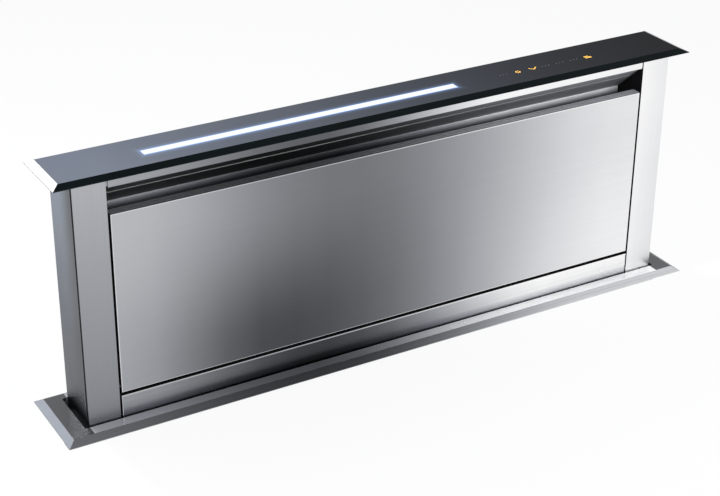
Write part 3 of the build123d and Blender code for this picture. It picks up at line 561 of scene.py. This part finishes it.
# The foot of the bevel is painted dark as shade, a thin dark line round the glass where its edge shows dark.
edge_line_height = 0.0007
foot_line = min(corner.co.z for corner in glass_plate.data.vertices) + edge_line_height
form = bmesh.new()
form.from_mesh(glass_plate.data)
whole = form.verts[:] + form.edges[:] + form.faces[:]
bmesh.ops.bisect_plane(form, geom=whole, plane_co=(0, 0, foot_line), plane_no=up_z)
form.to_mesh(glass_plate.data)
form.free()
edge_line_shade = moulded(
    "glass_edge_line_shade", (0.01, 0.014, 0.016), (0.006, 0.008, 0.01), (0.5, 0.6), 500, IOR=1.02
)
faced(glass_plate, edge_line_shade, lambda face: face.center.z < foot_line)

# The light bar shines through a milky strip, with a faint blue edge.
bar = Finish("lit_diffuser")
away = bar.maths("ABSOLUTE", bar.along(across_y, -(bar_low.y + bar_high.y) / 2))
reach = bar.maths("DIVIDE", away, (bar_high.y - bar_low.y) / 2)
glow = bar.ramp(
    reach, [(0, (1, 1, 1)), (0.62, (0.95, 0.98, 1)), (0.86, (0.62, 0.76, 1)), (1, (0.3, 0.45, 0.85))]
)
bar.shows({
    "Base Color": (0.05, 0.06, 0.08, 1),
    "Roughness": bar.scaled(bar.grain(500, 20.0)[0], 0.3, 0.4),
    "Emission Color": glow,
    "Emission Strength": 1.0,
})
paint(bar.material, "light_diffuser")


def planted(name, inputs):
    """A Geometry Nodes tree, the node that gives its inputs, and their identifiers."""
    tree = bpy.data.node_groups.new(name, "GeometryNodeTree")
    add = tree.interface.new_socket
    add("Geometry", in_out="OUTPUT", socket_type="NodeSocketGeometry")
    identifiers = {
        label: add(label, in_out="INPUT", socket_type="NodeSocket" + kind).identifier
        for label, kind in inputs.items()
    }
    return tree, tree.nodes.new("NodeGroupInput").outputs, identifiers


# Rows of like small things, such as dots, rivets and screw heads: one node tree
# sets short cones along a line.
stud_rows, given, stud_inputs = planted("stud_rows", {
    "Start": "Vector",
    "Step": "Vector",
    "Count": "Int",
    "Foot Radius": "Float",
    "Head Radius": "Float",
    "Height": "Float",
    "Facing": "Vector",
    "Finish": "Material",
})
row = wired(stud_rows, "GeometryNodeMeshLine", {
    "Count": given["Count"],
    "Start Location": given["Start"],
    "Offset": given["Step"],
})
stud = wired(stud_rows, "GeometryNodeMeshCone", {
    "Vertices": 12,
    "Radius Bottom": given["Foot Radius"],
    "Radius Top": given["Head Radius"],
    "Depth": given["Height"],
})
copies = wired(stud_rows, "GeometryNodeInstanceOnPoints", {
    "Points": row.outputs["Mesh"],
    "Instance": stud.outputs["Mesh"],
    "Rotation": given["Facing"],
})
real = wired(stud_rows, "GeometryNodeRealizeInstances", {0: copies.outputs["Instances"]})
dress = wired(
    stud_rows, "GeometryNodeSetMaterial", {"Geometry": real.outputs[0], "Material": given["Finish"]}
)
wired(stud_rows, "NodeGroupOutput", {0: dress.outputs[0]})
TO_HOB, TO_BACK, UPWARDS = (math.pi / 2, 0, 0), (-math.pi / 2, 0, 0), (0, 0, 0)


def grown(name, tree, identifiers, settings):
    """The plain mesh that a node tree makes with these settings."""
    carrier = placed(name + "_rough", bpy.data.meshes.new(name))
    maker = carrier.modifiers.new("nodes", "NODES")
    maker.node_group = tree
    for label, value in settings.items():
        maker[identifiers[label]] = value
    seen = carrier.evaluated_get(bpy.context.evaluated_depsgraph_get())
    made = bpy.data.meshes.new_from_object(seen)
    bpy.data.objects.remove(carrier)
    return made


def finished(name, form, body, material):
    """One finished piece from its bmesh, riding on a body."""
    mesh = bpy.data.meshes.new(name)
    form.to_mesh(mesh)
    form.free()
    mesh.materials.clear()
    mesh.materials.append(material)
    made = placed(name, mesh)
    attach(made, body)


def settled(name, meshes, body, material):
    """One finished piece from plain meshes."""
    whole = bmesh.new()
    for mesh in meshes:
        whole.from_mesh(mesh)
    finished(name, whole, body, material)


def studs(name, rows, facing, shape, body, material):
    """Rows of (start, step, count), all with one shape of foot, head and height."""
    meshes = [
        grown(name, stud_rows, stud_inputs, dict(zip(stud_inputs, (*line, *shape, facing, material))))
        for line in rows
    ]
    settled(name, meshes, body, material)


# Touch marks printed on the glass: grey dots, and three lit marks for the fan, the
# speed and the timer. They stand on the glass by the thickness of the print.
def mark_ink(name, colour, lit):
    made = Finish(name)
    lines, clouds = made.grain(900, 40.0)
    shade = made.mixed("MULTIPLY", made.scaled(lines, 0, 0.4), colour, (0.8, 0.8, 0.8))
    made.shows({"Base Color": shade, "Roughness": made.scaled(clouds, 0.3, 0.4)})
    if lit:
        made.shows({"Emission Color": shade, "Emission Strength": 0.9})
    return made.material


dull_ink = mark_ink("grey_print", (0.17, 0.18, 0.20), False)
lit_ink = mark_ink("amber_print", (0.92, 0.50, 0.05), True)
mark_y = -0.0046
dot_radius, lit_radius = 0.0007, 0.0010
dot_rows = [
    ((x, mark_y + 0.0002, glass_face), (0.0052, 0.0003, 0), 3) for x in (0.1690, 0.2340, 0.2560, 0.2780)
]
dot = (dot_radius, dot_radius, print_depth)
studs("touch_dots", dot_rows, UPWARDS, dot, "column", dull_ink)
petal_count, petal_reach, petal_x = 6, 0.0027, 0.1962
lit_rows = []
for i in range(petal_count):
    round_now = 2 * math.pi * i / petal_count
    petal_y = mark_y + petal_reach * math.sin(round_now)
    lit_rows.append(((petal_x + petal_reach * math.cos(round_now), petal_y, glass_face), (0, 0, 0), 1))
tick_step = 0.0019
lit_rows += [
    ((0.2152, mark_y + 0.0026, glass_face), (tick_step, -tick_step, 0), 3),
    ((0.2209, mark_y - 0.0012, glass_face), (tick_step, tick_step, 0), 3),
]
timer_x, timer_step, timer_row = 0.3015, 0.0024, 0.0026
for i in range(3):
    timer_y = mark_y - timer_row + timer_row * i
    lit_rows.append(((timer_x, timer_y, glass_face), (timer_step, 0, 0), 4 - i // 2))
lit_dot = (lit_radius, lit_radius, print_depth)
studs("touch_lit_marks", lit_rows, UPWARDS, lit_dot, "column", lit_ink)


# Printed circuit boards: green lacquer over copper tracks.
def circuit(name):
    made = Finish(name)
    place = made.add("ShaderNodeTexCoord").outputs["Object"]
    track = made.add("ShaderNodeTexBrick", {
        "Vector": place,
        "Scale": 110,
        "Mortar Size": 0.06,
        "Color1": (0.012, 0.085, 0.04, 1),
        "Color2": (0.016, 0.11, 0.05, 1),
        "Mortar": (0.10, 0.20, 0.07, 1),
    })
    lines, clouds = made.grain(600, 30.0)
    made.shows({
        "Base Color": made.times(track.outputs["Color"], made.tinted(clouds, (0.75, 0.75, 0.75))),
        "Roughness": made.scaled(lines, 0.25, 0.4),
    })
    made.bump(track.outputs["Fac"], 0.2, 0.0001)
    return made.material


paint(circuit("green_circuit_board"), "light_board", "touch_board", "control_board")
paint(zinc_sheet, "top_tray")

# ----------------------------------------------------------------- column
# Brushed stainless covers folded over a galvanised frame: two pillars, side covers
# with a darker painted reflection, a rail over the slot and one below the panel.
column_foot, column_head = -0.09, 0.32
bay, outer_corner = 0.3744, 0.4147
upright_grain, upright_edge = (900, 900, 2), (500, 500, 2)
slim_edge = (2, 500, 500)


def pillar_right_reflection_tone(finish):
    """Painted reflection: nearly white, a little greyer to its outer side and its foot."""
    level = rising(column_foot, column_head, 240, 255)(finish)
    side = rising(bay, column_end, 255, 240, across_x)(finish)
    return finish.times(level, side)


# The left pillar is painted as a darker reflection than the right; their eased edges carry painted
# highlights, the right one's outer edge painted shade.
pillar_left_reflection_tone = rising(column_foot, column_head, 120, 180)
pillar_left_steel = brushed("pillar_steel_left", upright_grain, pillar_left_reflection_tone, contrast=0.04)
pillar_right_steel = brushed("pillar_steel_right", upright_grain, pillar_right_reflection_tone, contrast=0.03)
lit_edge_left = brushed("pillar_edge_left", upright_edge, grey(200), (0.14, 0.22))
lit_edge_right = brushed("pillar_edge_right", upright_edge, grey(250), (0.14, 0.22))
shaded_outer_edge = brushed("pillar_outer_edge", upright_edge, grey(112), (0.3, 0.4))
pillar_left = eased(
    "pillar_left", "pillar_cover_left", "column", 0.0004, pillar_left_steel, lit_edge_left
)
pillar_right = eased(
    "pillar_right", "pillar_cover_right", "column", 0.0004, pillar_right_steel, lit_edge_right
)
faced(pillar_right, shaded_outer_edge, lambda face: face.material_index == 1 and face.center.x > outer_corner)
# The returns of every cover lie in shadow joints, and are painted black as shade.
joint_shade = moulded(
    "painted_joint_shade", (0.012, 0.012, 0.013), (0.007, 0.007, 0.008), (0.5, 0.62), IOR=1.12
)


def in_joint(face):
    return is_plain(face) and abs(face.normal.x) > 0.9


faced(pillar_left, joint_shade, in_joint)
faced(pillar_right, joint_shade, in_joint)
cool = (0.84, 1, 1.3)
side_front, side_joint = -0.0300, 0.0014


def side_left_reflection_tone(finish):
    """Painted reflection: dark beside the pillar, paler and bluer to the back and to the head."""
    front = rising(column_foot, column_head, 50, 60, tint=cool)(finish)
    back = rising(column_foot, column_head, 20, 140, tint=cool)(finish)
    depth = finish.smoothed(finish.along(across_y), side_front, 0.012)
    return finish.mixed("MIX", depth, front, back)


# Both side covers carry painted reflections, the right one paler; their eased edges a painted highlight.
side_left = brushed("side_steel_left", upright_grain, side_left_reflection_tone, contrast=0.05, bumps=0.04)
side_right = brushed("side_steel_right", upright_grain, rising(column_foot, column_head, 170, 215))
side_edge = brushed("side_edge", upright_edge, grey(150), (0.2, 0.3))
for hand, steel in (("left", side_left), ("right", side_right)):
    side = eased(
        f"side_cover_{hand}", f"side_sheet_{hand}", "column", 0.0004, steel, side_edge
    )
    for corner in side.data.vertices:
        if corner.co.y < side_front:
            corner.co.y += side_joint
rail_joint = 0.0022
rail_half = bay - rail_joint


def shortened(piece, full, cut):
    """Draws a piece in at its ends, so that a joint shows beside it."""
    for corner in piece.data.vertices:
        corner.co.x *= (full - cut) / full


# The header rail carries a painted reflection along X, and its eased edge a painted highlight.
header_steel = brushed("header_steel", along_grain, painted_sweep(170, 100, 255, 0.36, 0.72, bay))
header_edge = brushed("header_edge", slim_edge, grey(170), (0.14, 0.22))
header = eased("header_rail", "slot_header", "column", 0.0003, header_steel, header_edge)
faced(header, joint_shade, in_joint)
shortened(header, bay, rail_joint)


def rail_reflection_tone(finish):
    """Painted reflection across the rail, with painted shade fading dark towards its foot."""
    level = painted_sweep(160, 65, 255, 0.35, 0.82, bay)(finish)
    foot_shade = rising(-0.006, 0.018, 100, 255)(finish)
    return finish.times(level, foot_shade)


def strips(name, sections, low_x, high_x, body, material, slot):
    """Long drawn strips: sections in Y and Z, run along X and closed at their ends."""
    form = bmesh.new()
    for points in sections:
        ends = [[form.verts.new((x, y, z)) for y, z in points] for x in (low_x, high_x)]
        form.faces.new(ends[0])
        form.faces.new(list(reversed(ends[1])))
        for i in range(len(points)):
            j = (i + 1) % len(points)
            form.faces.new((ends[0][i], ends[1][i], ends[1][j], ends[0][j]))
    bmesh.ops.recalc_face_normals(form, faces=form.faces)
    finished(name, form, body, material)


rail_steel = brushed("rail_steel", along_grain, rail_reflection_tone)
# Its eased edge and head bead carry a painted highlight along X.
rail_edge = brushed("rail_edge", slim_edge, painted_sweep(195, 170, 255, 0.3, 0.85, bay), (0.14, 0.22))
rail = eased("bottom_rail", "lower_rail", "column", 0.0008, rail_steel, rail_edge)
# The rail's top, seen in the gap below the panel, is painted black as shade.
faced(rail, joint_shade, lambda face: in_joint(face) or (is_plain(face) and face.normal.z > 0.9))
shortened(rail, bay, rail_joint)
bead_front, bead_back = -0.0350, -0.0332
bead_foot, bead_head = 0.0338, 0.0351
rail_bead = [
    (bead_front, bead_foot),
    (bead_front, bead_head - 0.0003),
    (bead_front + 0.0004, bead_head),
    (bead_back, bead_head),
    (bead_back, bead_foot),
]
strips("rail_head_bead", [rail_bead], -rail_half, rail_half, "column", rail_edge, "stainless")
paint(brushed("plain_steel", along_grain, grey(176)), "rear_panel")
# The uprights are painted black as the shade seen through the joints.
paint(joint_shade, "uprights")
paint(zinc_sheet, "lower_tie")

# The ceiling of the slot slopes down to a rolled lip, painted pale as a highlight where
# it catches the light. A thin trim runs along the ceiling, painted dark as shade.
throat_grain = (2, 700, 700)
throat_shade_tone = painted_sweep(60, 30, 150, 0.3, 0.85, bay)
throat_steel = brushed("throat_steel", throat_grain, throat_shade_tone, (0.34, 0.46), 0.08, 0.1)
paint(throat_steel, "intake_baffle")
trim_steel = brushed("throat_trim_steel", slim_edge, grey(150, white_tint), (0.3, 0.4), 0.08, 0.1)
trim = [(-0.01244, 0.29016), (-0.01156, 0.28934), (-0.01224, 0.28860), (-0.01312, 0.28942)]
trim_half = bay - 0.004
strips("throat_trim", [trim], -trim_half, trim_half, "column", trim_steel, "dark_baffle")


def lip_highlight_tone(finish):
    """Painted highlight along the head of the lip, with painted shade towards its foot."""
    level = painted_sweep(180, 55, 255, 0.38, 0.8, bay)(finish)
    foot_shade = rising(0.2545, 0.2668, 100, 255)(finish)
    return finish.times(level, foot_shade)


lip_steel = brushed("throat_lip_steel", throat_grain, lip_highlight_tone, (0.3, 0.4), 0.05, 0.1, 0.04)
lip_y, lip_z, lip_radius = 0.0245, 0.2604, 0.012
lip_turns = [math.radians(angle) for angle in range(148, 229, 8)]
lip_front = [(lip_y + lip_radius * math.cos(t), lip_z + lip_radius * math.sin(t)) for t in lip_turns]
lip_back = [(0.0305, 0.2508), (0.0190, 0.2613)]
lip_half = bay - 0.001
strips("throat_lip", [lip_front + lip_back], -lip_half, lip_half, "column", lip_steel, "stainless")

# ------------------------------------------------------------- front panel
# A satin stainless tray with folded edges. It hangs on two pins at its foot and
# is held at its head by magnets.
panel_half, panel_joint = 0.3726, 0.0010
panel_foot, panel_head = 0.0395, 0.2725
fold = 0.0011
dark_below, bright_above = 0.055, 0.262
panel_grain, panel_fine = (2.5, 1100, 1100), (2.5, 600, 600)


def at_ends(finish, axis, low, high):
    """The folds at both ends of a span along an axis."""
    far = finish.maths("ABSOLUTE", finish.along(axis, -(low + high) / 2))
    return finish.maths("GREATER_THAN", far, (high - low) / 2 - fold)


def panel_reflection_tone(finish):
    """Satin with a painted reflection: darker left of the middle and low, and painted highlights on its
    folds.
    """
    head = painted_sweep(190, 120, 235, 0.4, 1.0, panel_half)(finish)
    foot = painted_sweep(165, 75, 245, 0.28, 1.0, panel_half)(finish)
    rise = finish.smoothed(finish.along(up_z), dark_below, bright_above)
    sheet = finish.mixed("MIX", rise, foot, head)
    sides = at_ends(finish, across_x, panel_joint - panel_half, panel_half - panel_joint)
    rims = finish.maths("MAXIMUM", sides, at_ends(finish, up_z, panel_foot, panel_head))
    bright = painted_sweep(215, 190, 255, 0.35, 0.8, panel_half)(finish)
    return finish.mixed("MIX", rims, sheet, bright)


panel_steel = brushed("panel_steel", panel_grain, panel_reflection_tone, (0.26, 0.34), 0.04, bumps=0.03)
# Its eased edges are painted as a highlight.
panel_edge = brushed("panel_edge", panel_fine, grey(232), (0.12, 0.2))
panel = eased(
    "front_panel", "front_panel_tray", "panel", 0.0004, panel_steel, panel_edge
)
# The panel's ends and underside are painted black as shade.
faced(panel, joint_shade, lambda face: in_joint(face) or (is_plain(face) and face.normal.z < -0.9))
shortened(panel, panel_half, panel_joint)
# Its head is a fold painted darker as shade, with fine raised lines painted as a reflection, in front of a
# black strip that stands in for the shade in the gap behind it.
head_shade_tone = painted_sweep(60, 40, 130, 0.3, 0.8, panel_half)
head_steel = brushed("panel_head_steel", panel_fine, head_shade_tone, (0.4, 0.5), 0.06, 0.2)
faced(panel, head_steel, lambda face: is_plain(face) and face.normal.z > 0.9)
rib_reflection_tone = painted_sweep(115, 90, 180, 0.3, 0.75, panel_half)
rib_steel = brushed("panel_rib_steel", panel_fine, rib_reflection_tone, (0.3, 0.4), 0.06, 0.3)
rib_half, rib_head, rib_wide, shade_strip_wide = 0.3716, 0.2730, 0.0021, 0.0014


def raised(y, wide):
    """The section of a low line on the panel's head."""
    return [(y, panel_head), (y, rib_head), (y + wide, rib_head), (y + wide, panel_head)]


ribs = [raised(y, rib_wide) for y in (-0.0322, -0.0281, -0.0240)]
strips("panel_head_ribs", ribs, -rib_half, rib_half, "panel", rib_steel, "stainless_bright")
seal = raised(-0.0216, shade_strip_wide)
strips("panel_head_shade_strip", [seal], -rib_half, rib_half, "panel", rubber, "rubber_black")
paint(zinc_sheet, "panel_back")
bright_zinc = moulded("bright_zinc", (0.62, 0.63, 0.66), (0.48, 0.49, 0.52), (0.22, 0.34), 300, 0.05, 1)
paint(bright_zinc, "panel_pins")
magnet = moulded("magnet", (0.2, 0.2, 0.21), (0.13, 0.13, 0.14), (0.3, 0.42), 300, 0.05, 1)
paint(magnet, "panel_magnets")

# ------------------------------------------------------------------ filters
# Two grease filters stand behind the panel, each an aluminium frame round layers
# of expanded mesh, with a small pull.
aluminium = moulded("mill_aluminium", (0.66, 0.67, 0.69), (0.54, 0.55, 0.57), (0.3, 0.42), 500, 0.08, 1)
paint(aluminium, "filter_frames", "filter_handles")
# Their deeper layers show as finer diamonds, a little uneven and in each other's shade.
behind_width, behind_height = 0.0082, 0.0051
mesh_finish = Finish("expanded_mesh")
slants = [mesh_finish.along((1 / behind_width, 0, way / behind_height)) for way in (1, -1)]
slant = mesh_finish.add("ShaderNodeCombineXYZ", dict(enumerate(slants)))
cells = mesh_finish.add(
    "ShaderNodeTexVoronoi",
    {"Vector": slant.outputs[0], "Scale": 1, "Randomness": 0.35},
    feature="DISTANCE_TO_EDGE",
    voronoi_dimensions="2D",
)
strands = mesh_finish.ramp(
    cells.outputs["Distance"],
    [(0, (0.30, 0.305, 0.315)), (0.09, (0.22, 0.225, 0.235)), (0.17, (0.02, 0.02, 0.022))],
)
mesh_finish.shows({"Base Color": strands, "Metallic": 0.9, "Roughness": 0.42})
mesh_finish.bump(cells.outputs["Distance"], 0.5, 0.001)
paint(mesh_finish.material, "filter_meshes")

# Their front layer is stretched mesh: rows of diamonds that touch at the corners.
weave, given, weave_inputs = planted("stretched_mesh", {
    "Width": "Float",
    "Height": "Float",
    "Across": "Int",
    "Up": "Int",
    "Diamond": "Vector",
    "Strand": "Float",
    "Middle": "Vector",
    "Lean": "Vector",
    "Finish": "Material",
})
field = wired(weave, "GeometryNodeMeshGrid", {
    "Size X": given["Width"],
    "Size Y": given["Height"],
    "Vertices X": given["Across"],
    "Vertices Y": given["Up"],
})
ring = wired(weave, "GeometryNodeCurvePrimitiveCircle", {"Resolution": 4, "Radius": 1})
stretch = wired(
    weave, "GeometryNodeTransform", {"Geometry": ring.outputs["Curve"], "Scale": given["Diamond"]}
)
wire = wired(
    weave, "GeometryNodeCurvePrimitiveCircle", {"Resolution": 4, "Radius": given["Strand"]}
)
strand = wired(weave, "GeometryNodeCurveToMesh", {
    "Curve": stretch.outputs["Geometry"],
    "Profile Curve": wire.outputs["Curve"],
})
copies = wired(weave, "GeometryNodeInstanceOnPoints", {
    "Points": field.outputs["Mesh"],
    "Instance": strand.outputs["Mesh"],
})
real = wired(weave, "GeometryNodeRealizeInstances", {0: copies.outputs["Instances"]})
lean = wired(weave, "GeometryNodeTransform", {
    "Geometry": real.outputs[0],
    "Translation": given["Middle"],
    "Rotation": given["Lean"],
})
dress = wired(
    weave, "GeometryNodeSetMaterial", {"Geometry": lean.outputs["Geometry"], "Material": given["Finish"]}
)
wired(weave, "NodeGroupOutput", {0: dress.outputs[0]})
filter_low, filter_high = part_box("filter_frames")
filter_mid = (filter_low + filter_high) / 2
filter_lean = math.radians(10.5)
filter_spot, front_layer = 0.1872, 0.0031
core_width, core_length = 0.3494, 0.1800
cells_across, cells_up = 30, 26
cell_width, cell_height = core_width / cells_across, core_length / cells_up
layer_y = filter_mid.y - front_layer * math.cos(filter_lean)
layer_z = filter_mid.z + front_layer * math.sin(filter_lean)
layers = [
    grown("filter_stretched_mesh", weave, weave_inputs, {
        "Width": core_width - cell_width,
        "Height": core_length - cell_height,
        "Across": cells_across,
        "Up": cells_up,
        "Diamond": (cell_width / 2, cell_height / 2, 1.0),
        "Strand": 0.0005,
        "Middle": (side * filter_spot, layer_y, layer_z),
        "Lean": (math.pi / 2 - filter_lean, 0, 0),
        "Finish": aluminium,
    })
    for side in (-1, 1)
]
settled("filter_stretched_mesh", layers, "column", aluminium)

# ------------------------------------------------------------------- casing
# The fixed half below the worktop: folded galvanised sheets, spot welded and
# screwed, with the masts that the column slides on.
paint(zinc_sheet, "casing_front", "casing_back", "casing_sides", "casing_base")
paint(zinc_sheet, "guide_masts", "idler_brackets")
paint(rubber, "lift_belts")
front_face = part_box("casing_front")[0].y
back_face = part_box("casing_back")[1].y
rivet = (0.0040, 0.0024, 0.0016)
rivet_zinc = moulded("rivet_zinc", (0.56, 0.57, 0.6), (0.44, 0.45, 0.47), (0.26, 0.38), 500, 0.05, 1)
seam_x, rivet_foot, rivet_step, rivets_up = 0.4140, -0.684, 0.0547, 13
for name, face_y, seams, facing in (
    ("casing_front_rivets", front_face, (-seam_x, seam_x), TO_HOB),
    ("casing_back_rivets", back_face, (-seam_x, 0, seam_x), TO_BACK),
):
    rivet_rows = [((x, face_y, rivet_foot), (0, 0, rivet_step), rivets_up) for x in seams]
    studs(name, rivet_rows, facing, rivet, "housing", rivet_zinc)
bead_half, bead_proud = 0.011, 0.0032


def bead(face_y, z, outward):
    """The section of a long stiffening bead pressed out of a sheet."""
    profile = ((0, 1), (0.7, 0.72), (1, 0.3), (1, -0.3), (0.7, -0.72), (0, -1))
    return [(face_y + outward * bead_proud * out, z + bead_half * rise) for out, rise in profile]


front_beads = [bead(front_face, z, -1) for z in (-0.12, -0.25, -0.38)]
strips("casing_front_beads", front_beads, -0.380, 0.380, "housing", zinc_sheet, "galvanised")
back_beads = [bead(back_face, z, 1) for z in (-0.12, -0.25, -0.38, -0.51, -0.64)]
for name, span in (("left", (-0.390, -0.025)), ("right", (0.025, 0.390))):
    strips(f"casing_back_beads_{name}", back_beads, *span, "housing", zinc_sheet, "galvanised")
black_plastic = moulded("black_plastic", (0.03, 0.03, 0.032), (0.02, 0.02, 0.021), (0.4, 0.52), 500)
paint(black_plastic, "belt_clamps", "limit_switches", "cable_gland")
paint(bright_zinc, "idler_left", "idler_right", "drive_pulleys", "drive_shaft", "feet")
motor_paint = moulded("motor_paint", (0.09, 0.095, 0.105), (0.06, 0.064, 0.07), (0.36, 0.5), 300)
paint(motor_paint, "lift_motor", "shaft_bearings")

# ------------------------------------------------------------------- blower
# A galvanised box holds the scroll and its wheel, and ends in a round spigot with
# two damper flaps on one pin.
blower_zinc = galvanised("blower_sheet", (0.5, 0.515, 0.53), (0.42, 0.435, 0.45), 80)
paint(blower_zinc, "blower_box", "blower_cover", "scroll_wrap", "scroll_sides", "outlet_spigot")
paint(black_plastic, "fan_wheel")
paint(motor_paint, "fan_motor")
paint(bright_zinc, "fan_shaft", "blower_screws", "damper_pin")
paint(aluminium, "damper_front", "damper_back")
box_low, box_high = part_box("blower_box")
cover_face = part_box("blower_cover")[0].y
hoop_sides = 72


def hoops(name, middle, axis, rings, body, material):
    """Round beads about an axis: each ring is a section of (radius, place along the axis)."""
    form = bmesh.new()
    across = Vector((0, 0, 1))
    beside = axis.cross(across)
    for section in rings:
        turns = []
        for i in range(hoop_sides):
            spin = 2 * math.pi * i / hoop_sides
            ray = across * math.cos(spin) + beside * math.sin(spin)
            turns.append([form.verts.new(middle + ray * radius + axis * place) for radius, place in section])
        for i in range(hoop_sides):
            here, there = turns[i], turns[(i + 1) % hoop_sides]
            for k in range(len(section)):
                m = (k + 1) % len(section)
                form.faces.new((here[k], there[k], there[m], here[m]))
    bmesh.ops.recalc_face_normals(form, faces=form.faces)
    finished(name, form, body, material)


fan_middle, to_hob = Vector((0.030, cover_face - 0.00002, -0.600)), Vector((0, -1, 0))
ring_half, ring_crown, ring_proud = 0.0055, 0.004, 0.0015
cover_rings = [
    [(r - ring_half, 0), (r - ring_crown, ring_proud), (r + ring_crown, ring_proud), (r + ring_half, 0)]
    for r in (0.040, 0.066, 0.092)
]
hoops("blower_cover_bead", fan_middle, to_hob, cover_rings, "housing", blower_zinc)
rim, rim_inset = 0.014, 0.0005
rim_face = cover_face - 0.0014
rims = [
    [(cover_face, z), (rim_face, z), (rim_face, z + rim), (cover_face, z + rim)]
    for z in (box_low.z + rim_inset, box_high.z - rim - rim_inset)
]
rim_span = (box_low.x + rim_inset, box_high.x - rim_inset)
strips("blower_cover_rims", rims, *rim_span, "housing", blower_zinc, "galvanised")
spigot_middle = Vector((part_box("outlet_spigot")[0].x, -0.1185, -0.5350))
spigot_wall, spigot_crown = 0.0750, 0.0764
spigot_rings = [
    [
        (spigot_wall, x - 0.003),
        (spigot_crown, x - 0.0012),
        (spigot_crown, x + 0.0012),
        (spigot_wall, x + 0.003),
    ]
    for x in (0.014, 0.062)
]
hoops("spigot_beads", spigot_middle, Vector((1, 0, 0)), spigot_rings, "housing", blower_zinc)
top_rows = [((box_low.x + 0.030, y, box_high.z), (0.050, 0, 0), 8) for y in (-0.236, -0.050)]
studs("blower_top_rivets", top_rows, UPWARDS, rivet, "housing", rivet_zinc)

# -------------------------------------------------------------- control box
# A pale moulded box for the mains side of the controls, fixed to the front of the
# casing beside the blower. Four screws hold its lid, which has low ribs.
grey_plastic = moulded("grey_plastic", (0.36, 0.37, 0.38), (0.31, 0.32, 0.33), (0.46, 0.58), 420)
# The eased edges of the box and lid are painted paler as a highlight.
plastic_edge_highlight = moulded("grey_plastic_edge", (0.44, 0.45, 0.46), (0.38, 0.39, 0.40), (0.4, 0.5), 420)
eased("control_box", "control_housing", "housing", 0.0006, grey_plastic, plastic_edge_highlight)
eased("control_cover", "control_lid", "housing", 0.0006, grey_plastic, plastic_edge_highlight)
lid_low, lid_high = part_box("control_cover")
screw_inset = 0.010
corner_rows = [
    ((lid_low.x + screw_inset, lid_low.y, z), (lid_high.x - lid_low.x - 2 * screw_inset, 0, 0), 2)
    for z in (lid_low.z + screw_inset, lid_high.z - screw_inset)
]
screw_head = (0.0036, 0.0030, 0.0014)
studs("control_lid_screws", corner_rows, TO_HOB, screw_head, "housing", bright_zinc)
rib_face = lid_low.y - 0.0012
lid_ribs = [
    [(lid_low.y, z), (rib_face, z + 0.0006), (rib_face, z + 0.0022), (lid_low.y, z + 0.0028)]
    for z in (-0.668, -0.661, -0.654, -0.647)
]
strips("control_lid_ribs", lid_ribs, 0.205, 0.275, "housing", grey_plastic, "grey_plastic")
